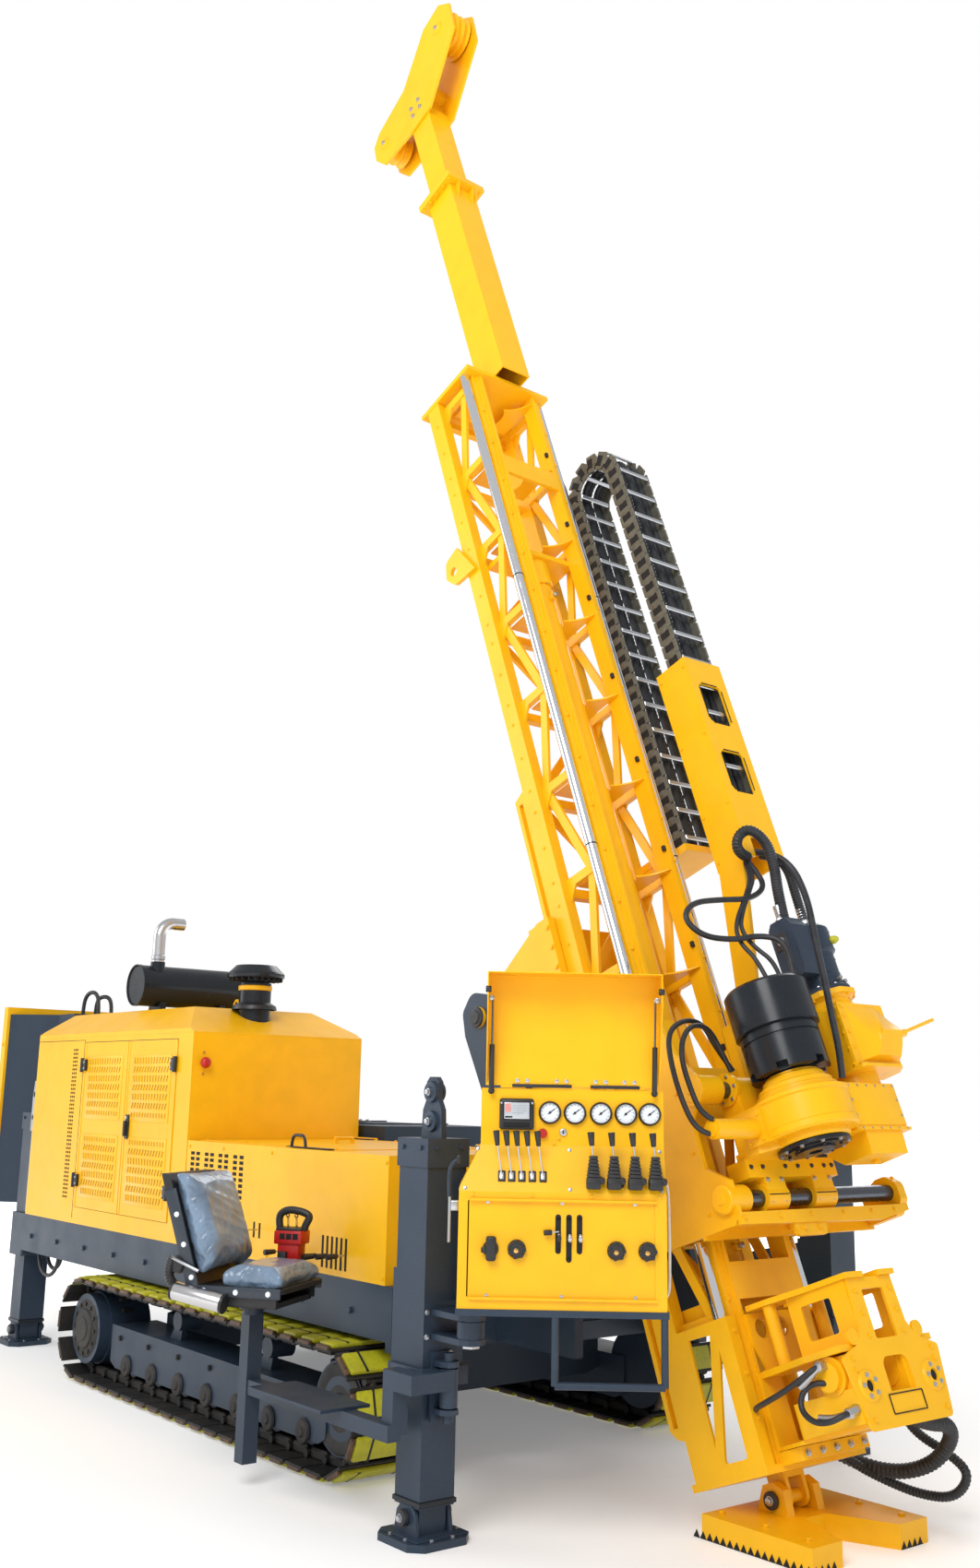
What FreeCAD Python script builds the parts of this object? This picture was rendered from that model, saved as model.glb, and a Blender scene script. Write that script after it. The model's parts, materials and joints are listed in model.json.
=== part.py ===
import FreeCAD, Part
import Sketcher
import math
import os

# Crawler core drilling rig.  Machine axes: +X towards the drilled hole, +Y to the left of the machine,
# +Z up, Z = 0 on the ground, Y = 0 on the centre line of tracks and mast.  Sizes in millimetres.
# Pieces of the mast are drawn upright (X = forward normal of the mast, Z = along it) and leaned back
# by their Placement.  The console and the seat are drawn about their own swing posts.

V = FreeCAD.Vector
ROT = FreeCAD.Rotation
doc = FreeCAD.newDocument("core_drilling_rig")
sheet = doc.addObject("Spreadsheet::Sheet", "Dims")

DIMS = [
    ("row_x", 169.45, "shift of the machine frame to the row frame, along X"),
    ("row_y", 221.6, "the same along Y"),
    ("mast_x", 2888.0, "foot of the mast axis"),
    ("mast_lean", -20.8, "lean of the mast from plumb, degrees about Y"),
    ("track_rear", -1640.0, "sprocket centre"),
    ("track_front", 980.0, "idler centre"),
    ("track_rad", 290.0, "outer radius of the track over its shoes"),
    ("track_in", 700.0, "inner side of a track from the centre line"),
    ("track_out", 1150.0, "outer side of a track"),
    ("belt_t", 90.0, "chain and shoe together"),
    ("shoe_count", 43.0, "shoes in one track"),
    ("side_x0", -2960.0, "rear end of the side beams"),
    ("side_x1", 1257.0, "front end of the side beams"),
    ("side_out", 1000.0, "outer face of the side beams"),
    ("side_in", 850.0, "inner face of the side beams"),
    ("side_z0", 600.0, "underside of the side beams"),
    ("deck_z", 830.0, "top of the deck"),
    ("hood_x0", -2940.0, "rear of the hood"),
    ("hood_x1", -700.0, "front of the hood"),
    ("hood_y1", 120.0, "left side of the hood"),
    ("hood_top", 2130.0, "plateau of the hood"),
    ("hood_eave", 1970.0, "lower edge of its hips"),
    ("sheet_t", 4.0, "sheet metal of hood and boxes"),
    ("door_x0", -2165.0, "rear edge of the double door"),
    ("door_x1", -878.0, "front edge of the double door"),
    ("door_z0", 930.0, "lower edge of the doors"),
    ("door_z1", 1930.0, "upper edge of the doors"),
    ("box_x0", -690.0, "rear of the valve box"),
    ("box_x1", 1240.0, "front of the valve box"),
    ("box_top", 1380.0, "top of the valve box"),
    ("tower_w", 190.0, "square of a jack tower"),
    ("jack_fx", 1880.0, "front jacks from the origin"),
    ("jack_fy", 1230.0, "front jacks from the centre line"),
    ("jack_rx", -3060.0, "rear jacks"),
    ("jack_ry", 885.0, "rear jacks from the centre line"),
    ("leg_w", 162.0, "square of a jack leg"),
    ("foot_w", 290.0, "square of a jack foot"),
    ("tilt_x", 1120.0, "axis the mast leans about"),
    ("tilt_z", 2020.0, "its height"),
    ("chord_out", 297.0, "outer side of the mast chords"),
    ("mast_back", 385.0, "depth of the lattice"),
    ("mast_low", 300.0, "lower end of the lattice"),
    ("mast_top", 6085.0, "upper end of the lattice"),
    ("bay", 512.0, "pitch of the lattice"),
    ("shaft_n", 202.0, "cross shafts of the head from the mast face"),
    ("shaft_lo", 1275.0, "lower cross shaft"),
    ("shaft_hi", 1731.0, "upper cross shaft"),
    ("spin_n", 445.0, "spindle from the mast face"),
    ("con_x", 2151.0, "console swing post"),
    ("con_y", -1234.0, "console swing post"),
    ("con_yaw", -38.5, "where the console faces, degrees"),
    ("arm_x", 2030.0, "seat arm swing post"),
    ("arm_y", -1240.0, "seat arm swing post"),
    ("seat_x", 860.0, "seat post"),
    ("seat_y", -1430.0, "seat post"),
    ("seat_yaw", 35.0, "where the seat faces, degrees"),
]


class Dim:
    """A number from the sheet, or a sum of such numbers, with the expression that binds it."""

    def __init__(self, value, text):
        self.value = float(value)
        self.text = text

    def _join(self, other, sign, value, swap=False):
        theirs = other.text if isinstance(other, Dim) else "(%r)" % float(other)
        pair = (theirs, self.text) if swap else (self.text, theirs)
        return Dim(value, "(%s %s %s)" % (pair[0], sign, pair[1]))

    def __add__(self, o):
        return self._join(o, "+", self.value + float(o))

    def __radd__(self, o):
        return self._join(o, "+", self.value + float(o), True)

    def __sub__(self, o):
        return self._join(o, "-", self.value - float(o))

    def __rsub__(self, o):
        return self._join(o, "-", float(o) - self.value, True)

    def __mul__(self, o):
        return self._join(o, "*", self.value * float(o))

    def __rmul__(self, o):
        return self._join(o, "*", self.value * float(o), True)

    def __truediv__(self, o):
        return self._join(o, "/", self.value / float(o))

    def __neg__(self):
        return self * -1

    def __float__(self):
        return self.value


d = {}
for i, (alias, value, note) in enumerate(DIMS):
    row = str(i + 1)
    sheet.set("A" + row, alias)
    sheet.set("B" + row, repr(value))
    sheet.set("C" + row, note)
    sheet.setAlias("B" + row, alias)
    d[alias] = Dim(value, "Dims." + alias)
doc.recompute()


# ---------------------------------------------------------------- tools

def bind(obj, prop, value):
    if isinstance(value, Dim):
        obj.setExpression(prop, value.text)
    elif "." not in prop:
        setattr(obj, prop, float(value))


def put(obj, x, y, z, turn=None):
    """Place obj at x, y, z, each a number or a sheet dimension."""
    obj.Placement = FreeCAD.Placement(V(float(x), float(y), float(z)), turn or ROT())
    for axis, value in zip("xyz", (x, y, z)):
        bind(obj, "Placement.Base." + axis, value)
    return obj


def box(x, y, z):
    """Block between pairs (low, high) along the three axes."""
    b = doc.addObject("Part::Box", "Block")
    for prop, pair in zip(("Length", "Width", "Height"), (x, y, z)):
        bind(b, prop, pair[1] - pair[0])
    return put(b, x[0], y[0], z[0])


TURN = {"x": ROT(V(0, 1, 0), 90), "y": ROT(V(1, 0, 0), -90), "z": ROT()}


def cyl(axis, start, radius, length):
    """Round bar from start along +axis."""
    c = doc.addObject("Part::Cylinder", "Round")
    bind(c, "Radius", radius)
    bind(c, "Height", length)
    return put(c, start[0], start[1], start[2], TURN[axis])


def bar(p, q, wide, thick, side=V(0, 1, 0)):
    """Flat bar from p to q, wide across side's normal and thick along side."""
    p, q = V(*[float(c) for c in p]), V(*[float(c) for c in q])
    run = q - p
    along = V(run)
    along.normalize()
    across = side.cross(along)
    across.normalize()
    b = doc.addObject("Part::Box", "Bar")
    b.Length = run.Length
    b.Width = float(wide)
    b.Height = float(thick)
    up = along.cross(across)
    m = FreeCAD.Matrix(along.x, across.x, up.x, 0, along.y, across.y, up.y, 0, along.z, across.z, up.z, 0,
                       0, 0, 0, 1)
    turn = FreeCAD.Placement(m).Rotation
    corner = p - across * (float(wide) / 2) - up * (float(thick) / 2)
    b.Placement = FreeCAD.Placement(corner, turn)
    return b


def rod(p, q, radius):
    """Round bar from point p to point q."""
    p, q = V(*[float(c) for c in p]), V(*[float(c) for c in q])
    c = doc.addObject("Part::Cylinder", "Rod")
    c.Radius = float(radius)
    c.Height = (q - p).Length
    c.Placement = FreeCAD.Placement(p, ROT(V(0, 0, 1), q - p))
    return c


def sketch_on(body, plane, offset, points, holes=()):
    """Closed outline on one of the body's origin planes, with round holes (a, b, radius).

    A corner is (a, b), or (a, b, radius) where it is rounded.
    """
    sk = body.newObject("Sketcher::SketchObject", "Outline")
    base = [f for f in body.Origin.OriginFeatures if f.Role == plane][0]
    sk.AttachmentSupport = [(base, "")]
    sk.MapMode = "FlatFace"
    sk.AttachmentOffset = FreeCAD.Placement(V(0, 0, float(offset)), ROT())
    if isinstance(offset, Dim):
        sk.setExpression("AttachmentOffset.Base.z", offset.text)
    count = len(points)
    flat = [V(float(p[0]), float(p[1]), 0) for p in points]
    if sum(flat[i - 1].cross(flat[i]).z for i in range(count)) < 0:
        points = points[::-1]
        flat.reverse()
    ends = []
    for i, point in enumerate(points):
        back = (flat[i - 1] - flat[i]).normalize()
        ahead = (flat[(i + 1) % count] - flat[i]).normalize()
        if len(point) == 3:
            half = back.getAngle(ahead) / 2
            reach = point[2] / math.tan(half)
            middle = (back + ahead).normalize() * (point[2] / math.sin(half) - point[2])
            ends.append((flat[i] + back * reach, flat[i] + ahead * reach, flat[i] + middle))
        else:
            ends.append((flat[i], flat[i], None))
    lines = []
    for i in range(count):
        lines.append(sk.addGeometry(Part.LineSegment(ends[i][1], ends[(i + 1) % count][0]), False))

    def fix(line, end, values):
        for kind, value in zip(("DistanceX", "DistanceY"), values):
            n = sk.addConstraint(Sketcher.Constraint(kind, -1, 1, line, end, float(value)))
            if isinstance(value, Dim):
                sk.setExpression("Constraints[%d]" % n, value.text)

    for i, point in enumerate(points):
        if len(point) == 2:
            sk.addConstraint(Sketcher.Constraint("Coincident", lines[i - 1], 2, lines[i], 1))
            fix(lines[i], 1, point)
            continue
        enter, leave, middle = ends[i]
        fix(lines[i - 1], 2, (enter.x, enter.y))
        fix(lines[i], 1, (leave.x, leave.y))
        arc = sk.addGeometry(Part.Arc(enter, middle, leave), False)
        first = 1 if (sk.Geometry[arc].StartPoint - enter).Length < 1e-6 else 2
        sk.addConstraint(Sketcher.Constraint("Coincident", arc, first, lines[i - 1], 2))
        sk.addConstraint(Sketcher.Constraint("Coincident", arc, 3 - first, lines[i], 1))
        sk.addConstraint(Sketcher.Constraint("Radius", arc, float(point[2])))
    for cx, cy, radius in holes:
        n = sk.addGeometry(Part.Circle(V(float(cx), float(cy), 0), V(0, 0, 1), float(radius)), False)
        sk.addConstraint(Sketcher.Constraint("DistanceX", -1, 1, n, 3, float(cx)))
        sk.addConstraint(Sketcher.Constraint("DistanceY", -1, 1, n, 3, float(cy)))
        sk.addConstraint(Sketcher.Constraint("Radius", n, float(radius)))
    return sk


def pad(plane, points, low, high, holes=()):
    """Outline in XZ, XY or YZ, thick from low to high along the third axis."""
    body = doc.addObject("PartDesign::Body", "Plate")
    offset = -high if plane == "XZ" else low
    sk = sketch_on(body, plane + "_Plane", offset, points, holes)
    p = body.newObject("PartDesign::Pad", "Pad")
    p.Profile = sk
    bind(p, "Length", high - low)
    return body


def turned(points):
    """Half outline (radius, height) spun about Z."""
    body = doc.addObject("PartDesign::Body", "Turned")
    sk = sketch_on(body, "XZ_Plane", 0.0, points)
    r = body.newObject("PartDesign::Revolution", "Revolution")
    r.Profile = sk
    r.ReferenceAxis = (sk, ["V_Axis"])
    r.Angle = 360.0
    return body


def loft(sections):
    """Solid through closed outlines of points in space."""
    rings = []
    for points in sections:
        ring = doc.addObject("Part::Polygon", "Ring")
        ring.Nodes = [V(*[float(c) for c in p]) for p in points]
        ring.Close = True
        rings.append(ring)
    body = doc.addObject("Part::Loft", "Loft")
    body.Sections = rings
    body.Solid = True
    body.Ruled = True
    return body


def fuse(parts):
    if len(parts) == 1:
        return parts[0]
    f = doc.addObject("Part::MultiFuse", "Joined")
    f.Shapes = parts
    f.Refine = True
    return f


def cut(base, tools):
    c = doc.addObject("Part::Cut", "Cut")
    c.Base = base
    c.Tool = fuse(list(tools))
    c.Refine = True
    return c


def common(parts):
    c = doc.addObject("Part::MultiCommon", "Shared")
    c.Shapes = parts
    c.Refine = True
    return c


def mirror_y(obj):
    m = doc.addObject("Part::Mirroring", "Mirrored")
    m.Source = obj
    m.Normal = V(0, 1, 0)
    m.Base = V(0, 0, 0)
    return m


def both(maker):
    """The piece on the right (negative Y) side and its mirror image."""
    a = maker()
    return [a, mirror_y(maker())]


def around(count, maker):
    """Pieces set evenly round the Z axis."""
    pieces = [maker() for i in range(count)]
    for i, piece in enumerate(pieces):
        turn = FreeCAD.Placement(V(0, 0, 0), ROT(V(0, 0, 1), 360.0 * i / count))
        piece.Placement = turn.multiply(piece.Placement)
    return pieces


def together(parts):
    c = doc.addObject("Part::Compound", "Set")
    c.Links = parts
    return c


NODES = []


FRAMES = {
    "machine": (0.0, 0.0, V(0, 0, 1), 0.0),
    "mast": (d["mast_x"], 0.0, V(0, 1, 0), d["mast_lean"]),
    "console": (d["con_x"], d["con_y"], V(0, 0, 1), d["con_yaw"]),
    "seat": (d["seat_x"], d["seat_y"], V(0, 0, 1), d["seat_yaw"]),
}


def node(label, obj, where="machine", at=V(0, 0, 0), turn=None):
    """Name a finished piece and put it where it belongs: at, turned by turn, in one of the frames."""
    if obj.TypeId in ("Part::Mirroring", "Part::Box", "Part::Cylinder"):
        obj = together([obj])
    obj.Label = label
    x, y, axis, angle = FRAMES[where]
    swing = ROT(axis, float(angle))
    shift = swing.multVec(at)
    put(obj, d["row_x"] + x + shift.x, d["row_y"] + y + shift.y, shift.z,
        swing.multiply(turn) if turn else swing)
    if isinstance(angle, Dim) and not turn:
        obj.setExpression("Placement.Rotation.Angle", angle.text)
    NODES.append(obj)
    return obj


ALONG_Y = ROT(V(1, 0, 0), -90)


# ---------------------------------------------------------------- tracks

def track_shape(side):
    """One track as a closed belt: shoes with gaps between them outside, smooth chain inside."""
    rear, front = float(d["track_rear"]), float(d["track_front"])
    rad, belt = float(d["track_rad"]), float(d["belt_t"])
    pin = rad - 0.6 * belt
    run = front - rear
    arc = math.pi * pin
    total = 2 * (run + arc)
    count = int(float(d["shoe_count"]))
    pitch = total / count

    wide = float(d["track_out"]) - float(d["track_in"])
    y = -float(d["track_out"]) if side < 0 else float(d["track_in"])

    def at(u, off):
        u = u % total
        if u < run:
            return V(rear + u, y, rad - pin - off)
        u -= run
        if u < arc:
            a = -math.pi / 2 + u / pin
            return V(front + (pin + off) * math.cos(a), y, rad + (pin + off) * math.sin(a))
        u -= arc
        if u < run:
            return V(front - u, y, rad + pin + off)
        a = math.pi / 2 + (u - run) / pin
        return V(rear + (pin + off) * math.cos(a), y, rad + (pin + off) * math.sin(a))

    out = rad - pin
    outer = []
    for i in range(count):
        mid = (i + 0.5) * pitch
        for part, off in ((-0.46, out - 34), (-0.40, out), (0.40, out), (0.46, out - 34)):
            outer.append(at(mid + part * pitch, off))
    outer.append(outer[0])
    inner = rad - belt
    a1, a2 = V(rear, y, rad - inner), V(front, y, rad - inner)
    b1, b2 = V(front, y, rad + inner), V(rear, y, rad + inner)
    hole = Part.Wire([
        Part.makeLine(a1, a2),
        Part.Arc(a2, V(front + inner, y, rad), b1).toShape(),
        Part.makeLine(b1, b2),
        Part.Arc(b2, V(rear - inner, y, rad), a1).toShape(),
    ])
    face = Part.Face(Part.makePolygon(outer)).cut(Part.Face(hole))
    return face.extrude(V(0, wide, 0))


def track_frame():
    """Beam between sprocket and idler with its rollers, on the right side."""
    out, inn = -d["track_out"] + 100, -d["track_in"] - 60
    r = d["track_rad"] - d["belt_t"] - 1
    zc = d["track_rad"]
    parts = [
        pad("XZ", [(-1370, 150), (-1300, 120), (830, 120), (890, 150), (890, 330), (-1370, 345)],
            out, inn - 20),
        cyl("y", (d["track_rear"], -d["track_out"] + 130, zc), r, 240),
        cyl("y", (d["track_rear"], -d["track_out"] + 60, zc), 190, 100),
        cyl("y", (d["track_front"], -d["track_out"] + 110, zc), r, 250),
        pad("XZ", [(-1700, 250), (-1370, 200), (-1370, 330), (-1700, 330)], out + 140, inn - 20),
        pad("XZ", [(890, 200), (1010, 250), (1010, 330), (890, 330)], out + 20, out + 60),
    ]
    for i in range(7):
        parts.append(cyl("y", (-1150 + 310 * i, out + 40, d["belt_t"] + 62), 62, 150))
    for x in (-700, 250):
        parts.append(cyl("y", (x, out + 60, 2 * d["track_rad"] - d["belt_t"] - 50), 50, 130))
        parts.append(pad("XZ", [(x - 120, 330), (x + 10, 330), (x + 30, 440), (x - 25, 455)],
                         out + 80, out + 110))
    return fuse(parts)


for name, side in (("track_right", -1), ("track_left", 1)):
    t = doc.addObject("Part::Feature", "Belt")
    t.Shape = track_shape(side)
    node(name, t)
node("track_frames", together(both(track_frame)))


# ---------------------------------------------------------------- chassis

TILT_BASE = (1390.0, 720.0)
SKIN = 12.0
BEAM_W = 120.0
BEAM_Z = (618.0, 818.0)
FRONT_X = 1300.0
MAST_PLATE = (360.0, 410.0)
PIN_R = 50.0
FIT = 0.05


def side_beam():
    """Channel on the right side, open to the inside, and the tail plate of the rear tower."""
    out, inn = -d["side_out"], -d["side_in"]
    z0, z1 = d["side_z0"], d["deck_z"]
    channel = pad("YZ", [(out, z0), (inn, z0), (inn, z0 + SKIN), (out + SKIN, z0 + SKIN),
                         (out + SKIN, z1 - SKIN), (inn, z1 - SKIN), (inn, z1), (out, z1)],
                  d["side_x0"], d["side_x1"])
    tail = box((d["jack_rx"] - 100, d["side_x0"]), (out, out + 20), (z0 - 40, z1))
    return fuse([channel, tail])


node("side_beams", together(both(side_beam)))
node("deck_plate", box((d["side_x0"], d["side_x1"]), (-d["side_in"], d["side_in"]),
                       (d["deck_z"] - SKIN, d["deck_z"])))

beams = []
reach = d["side_out"] - SKIN
for x in (-2960, -2080, -1200, -335, 530, 1090):
    beams.append(cut(box((x, x + BEAM_W), (-reach, reach), BEAM_Z),
                     [box((x + 8, x + BEAM_W - 8), (-reach + 8, reach - 8), (BEAM_Z[0] + 8, BEAM_Z[1] - 8))]))
beams.append(box((d["side_x1"], FRONT_X), (-d["side_out"], d["side_out"]), (560, d["deck_z"])))
node("cross_beams", together(beams))


def carrier(x):
    """Saddle between the track frames, with two posts up to a cross beam."""
    return pad("YZ", [(-780, 250), (-700, 225), (700, 225), (780, 250), (780, 400), (640, 440), (600, BEAM_Z[0]),
                      (340, BEAM_Z[0]), (300, 440, 40), (-300, 440, 40), (-340, BEAM_Z[0]),
                      (-600, BEAM_Z[0]), (-640, 440), (-780, 400)], x, x + 200)


node("track_carriers", together([carrier(-1240), carrier(490)]))


def mast_brackets():
    """Two plates that carry the tilt axis, their base, a cross tube and the pin of the tilt cylinders."""
    outline = [(FRONT_X, 560), (1820, 560), (1820, 800), (1650, 1300), (1330, 1960), (1250, 2115, 70),
               (1055, 2145, 70), (985, 2045, 50), (1010, 1930), (1265, 1460), (FRONT_X, 1380)]
    low, high = MAST_PLATE
    parts = []
    for y in (-high, low):
        parts.append(pad("XZ", outline, y, y + high - low, [(d["tilt_x"], d["tilt_z"], PIN_R + FIT)]))
    parts.append(box((FRONT_X, 1480), (-low - 20, low + 20), (560, 640)))
    parts.append(cyl("y", (1165, -low - 20, 1690), 30, 2 * low + 40))
    parts.append(cyl("y", (TILT_BASE[0], -270, TILT_BASE[1]), 30, 540))
    for y, wide in ((-275, 40), (-60, 120), (235, 40)):
        parts.append(pad("XZ", [(1320, 640), (1460, 640), (1440, 750, 40), (1340, 750, 40)], y, y + wide))
    return fuse(parts)


node("mast_brackets", mast_brackets())


def winch_plates():
    parts = []
    for y in (300, 900):
        parts.append(pad("XZ", [(-320, 830), (330, 830), (330, 870), (180, 1010), (140, 1200, 70), (-60, 1200, 70),
                                (-110, 1010), (-320, 870)], y, y + 30, [(40, 1110, 40 + FIT)]))
    parts.append(cyl("y", (-40, 325, 880), 28, 580))
    return fuse(parts)


node("winch_frame", winch_plates())


def tower(cx, cy, top, lug, low):
    w = d["tower_w"]
    t = 9.0
    tube = cut(box((cx - w / 2, cx + w / 2), (cy - w / 2, cy + w / 2), (low, top)),
               [box((cx - w / 2 + t, cx + w / 2 - t), (cy - w / 2 + t, cy + w / 2 - t), (low - 5, top - 30))])
    cap = box((cx - w / 2 - 8, cx + w / 2 + 8), (cy - w / 2 - 8, cy + w / 2 + 8), (top - 110, top))
    cap = cut(cap, [box((cx - w / 2 + 1, cx + w / 2 - 1), (cy - w / 2 + 1, cy + w / 2 - 1),
                        (top - 115, top - 5))])
    x0, y0 = float(cx), float(cy)
    plate = pad("XZ", [(x0 - 70, float(top) - 20), (x0 + 70, float(top) - 20), (x0 + 62, lug - 130),
                       (x0 + 40, lug - 90), (x0 + 40, lug - 20), (x0 + 20, lug), (x0 - 20, lug),
                       (x0 - 40, lug - 20), (x0 - 40, lug - 90), (x0 - 62, lug - 130)],
                y0 - 12, y0 + 12, [(x0, lug - 175, 24), (x0, lug - 60, 18)])
    return [tube, cap, plate]


def leg(cx, cy, label):
    w = d["leg_w"]
    t = 10.0
    f = d["foot_w"]
    parts = [
        cut(box((cx - w / 2, cx + w / 2), (cy - w / 2, cy + w / 2), (130, 1180)),
            [box((cx - w / 2 + t, cx + w / 2 - t), (cy - w / 2 + t, cy + w / 2 - t), (180, 1200))]),
        box((cx - 55, cx + 55), (cy - 62, cy + 62), (25, 135)),
        cyl("y", (cx, cy - 90, 92), 22, 180),
        pad("XY", [(cx - f / 2, cy - f / 2 + 50), (cx - f / 2 + 50, cy - f / 2), (cx + f / 2 - 50, cy - f / 2),
                   (cx + f / 2, cy - f / 2 + 50), (cx + f / 2, cy + f / 2 - 50),
                   (cx + f / 2 - 50, cy + f / 2), (cx - f / 2 + 50, cy + f / 2),
                   (cx - f / 2, cy + f / 2 - 50)], 0.0, 28.0),
    ]
    node(label, fuse(parts))


front_right = tower(d["jack_fx"], -d["jack_fy"], 1480.0, 1720.0, 560.0)
# lugs that the console and the seat arm swing on
for z in (735, 822):
    front_right.append(pad("XY", [(1900, -1135), (1975, -1135), (1975, -1290), (2150, -1290), (2190, -1275),
                                  (2207, -1234), (2190, -1193), (2150, -1178), (2060, -1150), (1975, -1090),
                                  (1900, -1090)], z, z + 22, [(d["con_x"], d["con_y"], 25.05)]))
for z in (470, 640):
    front_right.append(pad("XY", [(1970, -1280), (2030, -1280), (2058, -1268), (2070, -1240), (2058, -1212),
                                  (2030, -1200), (1970, -1200)], z, z + 20, [(d["arm_x"], d["arm_y"], 20.05)]))
front_right.append(box((1975, 1990), (-1290, -1190), (440, 690)))


def arm(side):
    """Tapered box from the front beam out to a front tower, with the flange between them."""
    def form(g):
        near = [(FRONT_X - g, side * y, z) for y, z in ((850 + g, 600 + g), (990 - g, 600 + g),
                                                        (990 - g, 830 - g), (850 + g, 830 - g))]
        far = [(1765 + g, side * y, z) for y, z in ((1150 + g, 580 + g), (1310 - g, 580 + g),
                                                    (1310 - g, 960 - g), (1150 + g, 960 - g))]
        return loft([near, far])

    lateral = (-1325, -1140) if side < 0 else (1140, 1325)
    return [cut(form(0), [form(10)]), box((1765, 1785), lateral, (560, 980))]


def socket(side):
    """Block beside a rear tower, against the rear cross beam."""
    return [box((-3155, -2960), (-790, -690) if side < 0 else (690, 790), (620, 815))]


node("jack_towers", together([
    fuse(front_right + arm(-1)),
    fuse(tower(d["jack_fx"], d["jack_fy"], 1480.0, 1720.0, 560.0) + arm(1)),
    fuse(tower(d["jack_rx"], -d["jack_ry"], 1480.0, 1720.0, 560.0) + socket(-1)),
    fuse(tower(d["jack_rx"], d["jack_ry"], 1480.0, 1720.0, 560.0) + socket(1)),
]))
leg(d["jack_fx"], -d["jack_fy"], "jack_leg_front_right")
leg(d["jack_fx"], d["jack_fy"], "jack_leg_front_left")
leg(d["jack_rx"], -d["jack_ry"], "jack_leg_rear_right")
leg(d["jack_rx"], d["jack_ry"], "jack_leg_rear_left")


# ---------------------------------------------------------------- engine end

def hood_form(g):
    """Hipped hood, g inside its outer skin."""
    x0, x1 = d["hood_x0"] + g, d["hood_x1"] - g
    y0, y1 = -d["side_out"] + g, d["hood_y1"] - g
    top, eave = d["hood_top"] - g, d["hood_eave"]
    z0 = d["deck_z"] - (40 if g else 0)
    length = pad("XZ", [(x0, z0), (x1, z0), (x1, eave), (x1 - 380, top), (x0 + 120, top), (x0, top - 120)],
                 y0, y1)
    width = pad("YZ", [(y0, z0), (y1, z0), (y1, eave + 30), (y1 - 130, top), (y0 + 190, top),
                       (y0, eave + 20)], x0, x1)
    return common([length, width])


SEAM = 1965.0


def hood():
    """Roof and four wall panels, bolted together along folded edges."""
    shell = cut(hood_form(0), [hood_form(float(d["sheet_t"])),
                               box((d["door_x0"] - 3, d["door_x1"] + 3), (-d["side_out"] - 20, -d["side_out"] + 60),
                                   (d["door_z0"] - 3, d["door_z1"] + 3)),
                               cyl("z", (-980, -470, 1950), 97, 300),
                               box((d["hood_x0"] - 20, d["hood_x0"] + 60), (-720, 50), (950, 1880))])
    x0, x1 = d["hood_x0"] - 10, d["hood_x1"] + 10
    y0, y1 = -d["side_out"] - 10, d["hood_y1"] + 10
    inner = 10 + d["sheet_t"]
    walls = (700, SEAM - 0.5)
    return [
        common([shell, box((x0, x1), (y0, y1), (SEAM, 2200))]),
        common([shell, box((x0, x1), (y0, y0 + inner), walls)]),
        common([shell, box((x0, x1), (y1 - inner, y1), walls)]),
        common([shell, box((x0, x0 + inner), (y0 + inner + 0.5, y1 - inner - 0.5), walls)]),
        common([shell, box((x1 - inner, x1), (y0 + inner + 0.5, y1 - inner - 0.5), walls)]),
    ]


node("engine_hood", together(hood()))


mid_x = (float(d["door_x0"]) + float(d["door_x1"])) / 2


def door(x0, x1, label, hinge_x):
    """Leaf with a folded rim and two hinges."""
    y = -d["side_out"]
    leaf = box((x0, x1), (y - 2, y + 2), (d["door_z0"], d["door_z1"]))
    rims = [
        box((x0, x0 + 3), (y, y + 28), (d["door_z0"], d["door_z1"])),
        box((x1 - 3, x1), (y, y + 28), (d["door_z0"], d["door_z1"])),
        box((x0, x1), (y, y + 28), (d["door_z0"], d["door_z0"] + 3)),
        box((x0, x1), (y, y + 28), (d["door_z1"] - 3, d["door_z1"])),
    ]
    for z in (1050, 1750):
        strap = (hinge_x, hinge_x + 46) if hinge_x < mid_x else (hinge_x - 46, hinge_x)
        rims.append(box(strap, (y - 14, y - 2), (z, z + 80)))
        rims.append(cyl("z", (hinge_x, y - 16, z), 9, 80))
    node(label, fuse([leaf] + rims))


door(d["door_x0"] + 2, mid_x - 3, "hood_door_rear", -2163.0)
door(mid_x + 3, d["door_x1"] - 2, "hood_door_front", -880.0)

node("engine_block", box((-2350, -1150), (-780, -120), (830, 1620)))

cowl = pad("XY", [(-3500, -1010), (-3210, -770), (-2940, -770), (-2940, 100), (-3500, 100)], 870.0, 2150.0)
cowl_in = pad("XY", [(-3520, -995), (-3216, -755), (-2900, -755), (-2900, 92), (-3520, 92)], 890.0, 2140.0)
stand = [box((-3560, -2960), (y, y + 80), (770, 870)) for y in (-650, -60)]
node("radiator_unit", fuse([cut(cowl, [cowl_in]),
                            box((-3400, -3330), (-760, 92), (885, 2145))] + stand))

grille = cut(box((-3570, -3500), (-1030, 130), (870, 2200)),
             [box((-3590, -3480), (-970, 70), (930, 2140))])
slats = [box((-3560, -3510), (-975, 75), (z, z + 12)) for z in range(990, 2120, 80)]
slats += [box((-3560, -3510), (y, y + 12), (925, 2145)) for y in (-700, -450, -200)]
node("rear_grille", fuse([grille] + slats))

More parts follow.
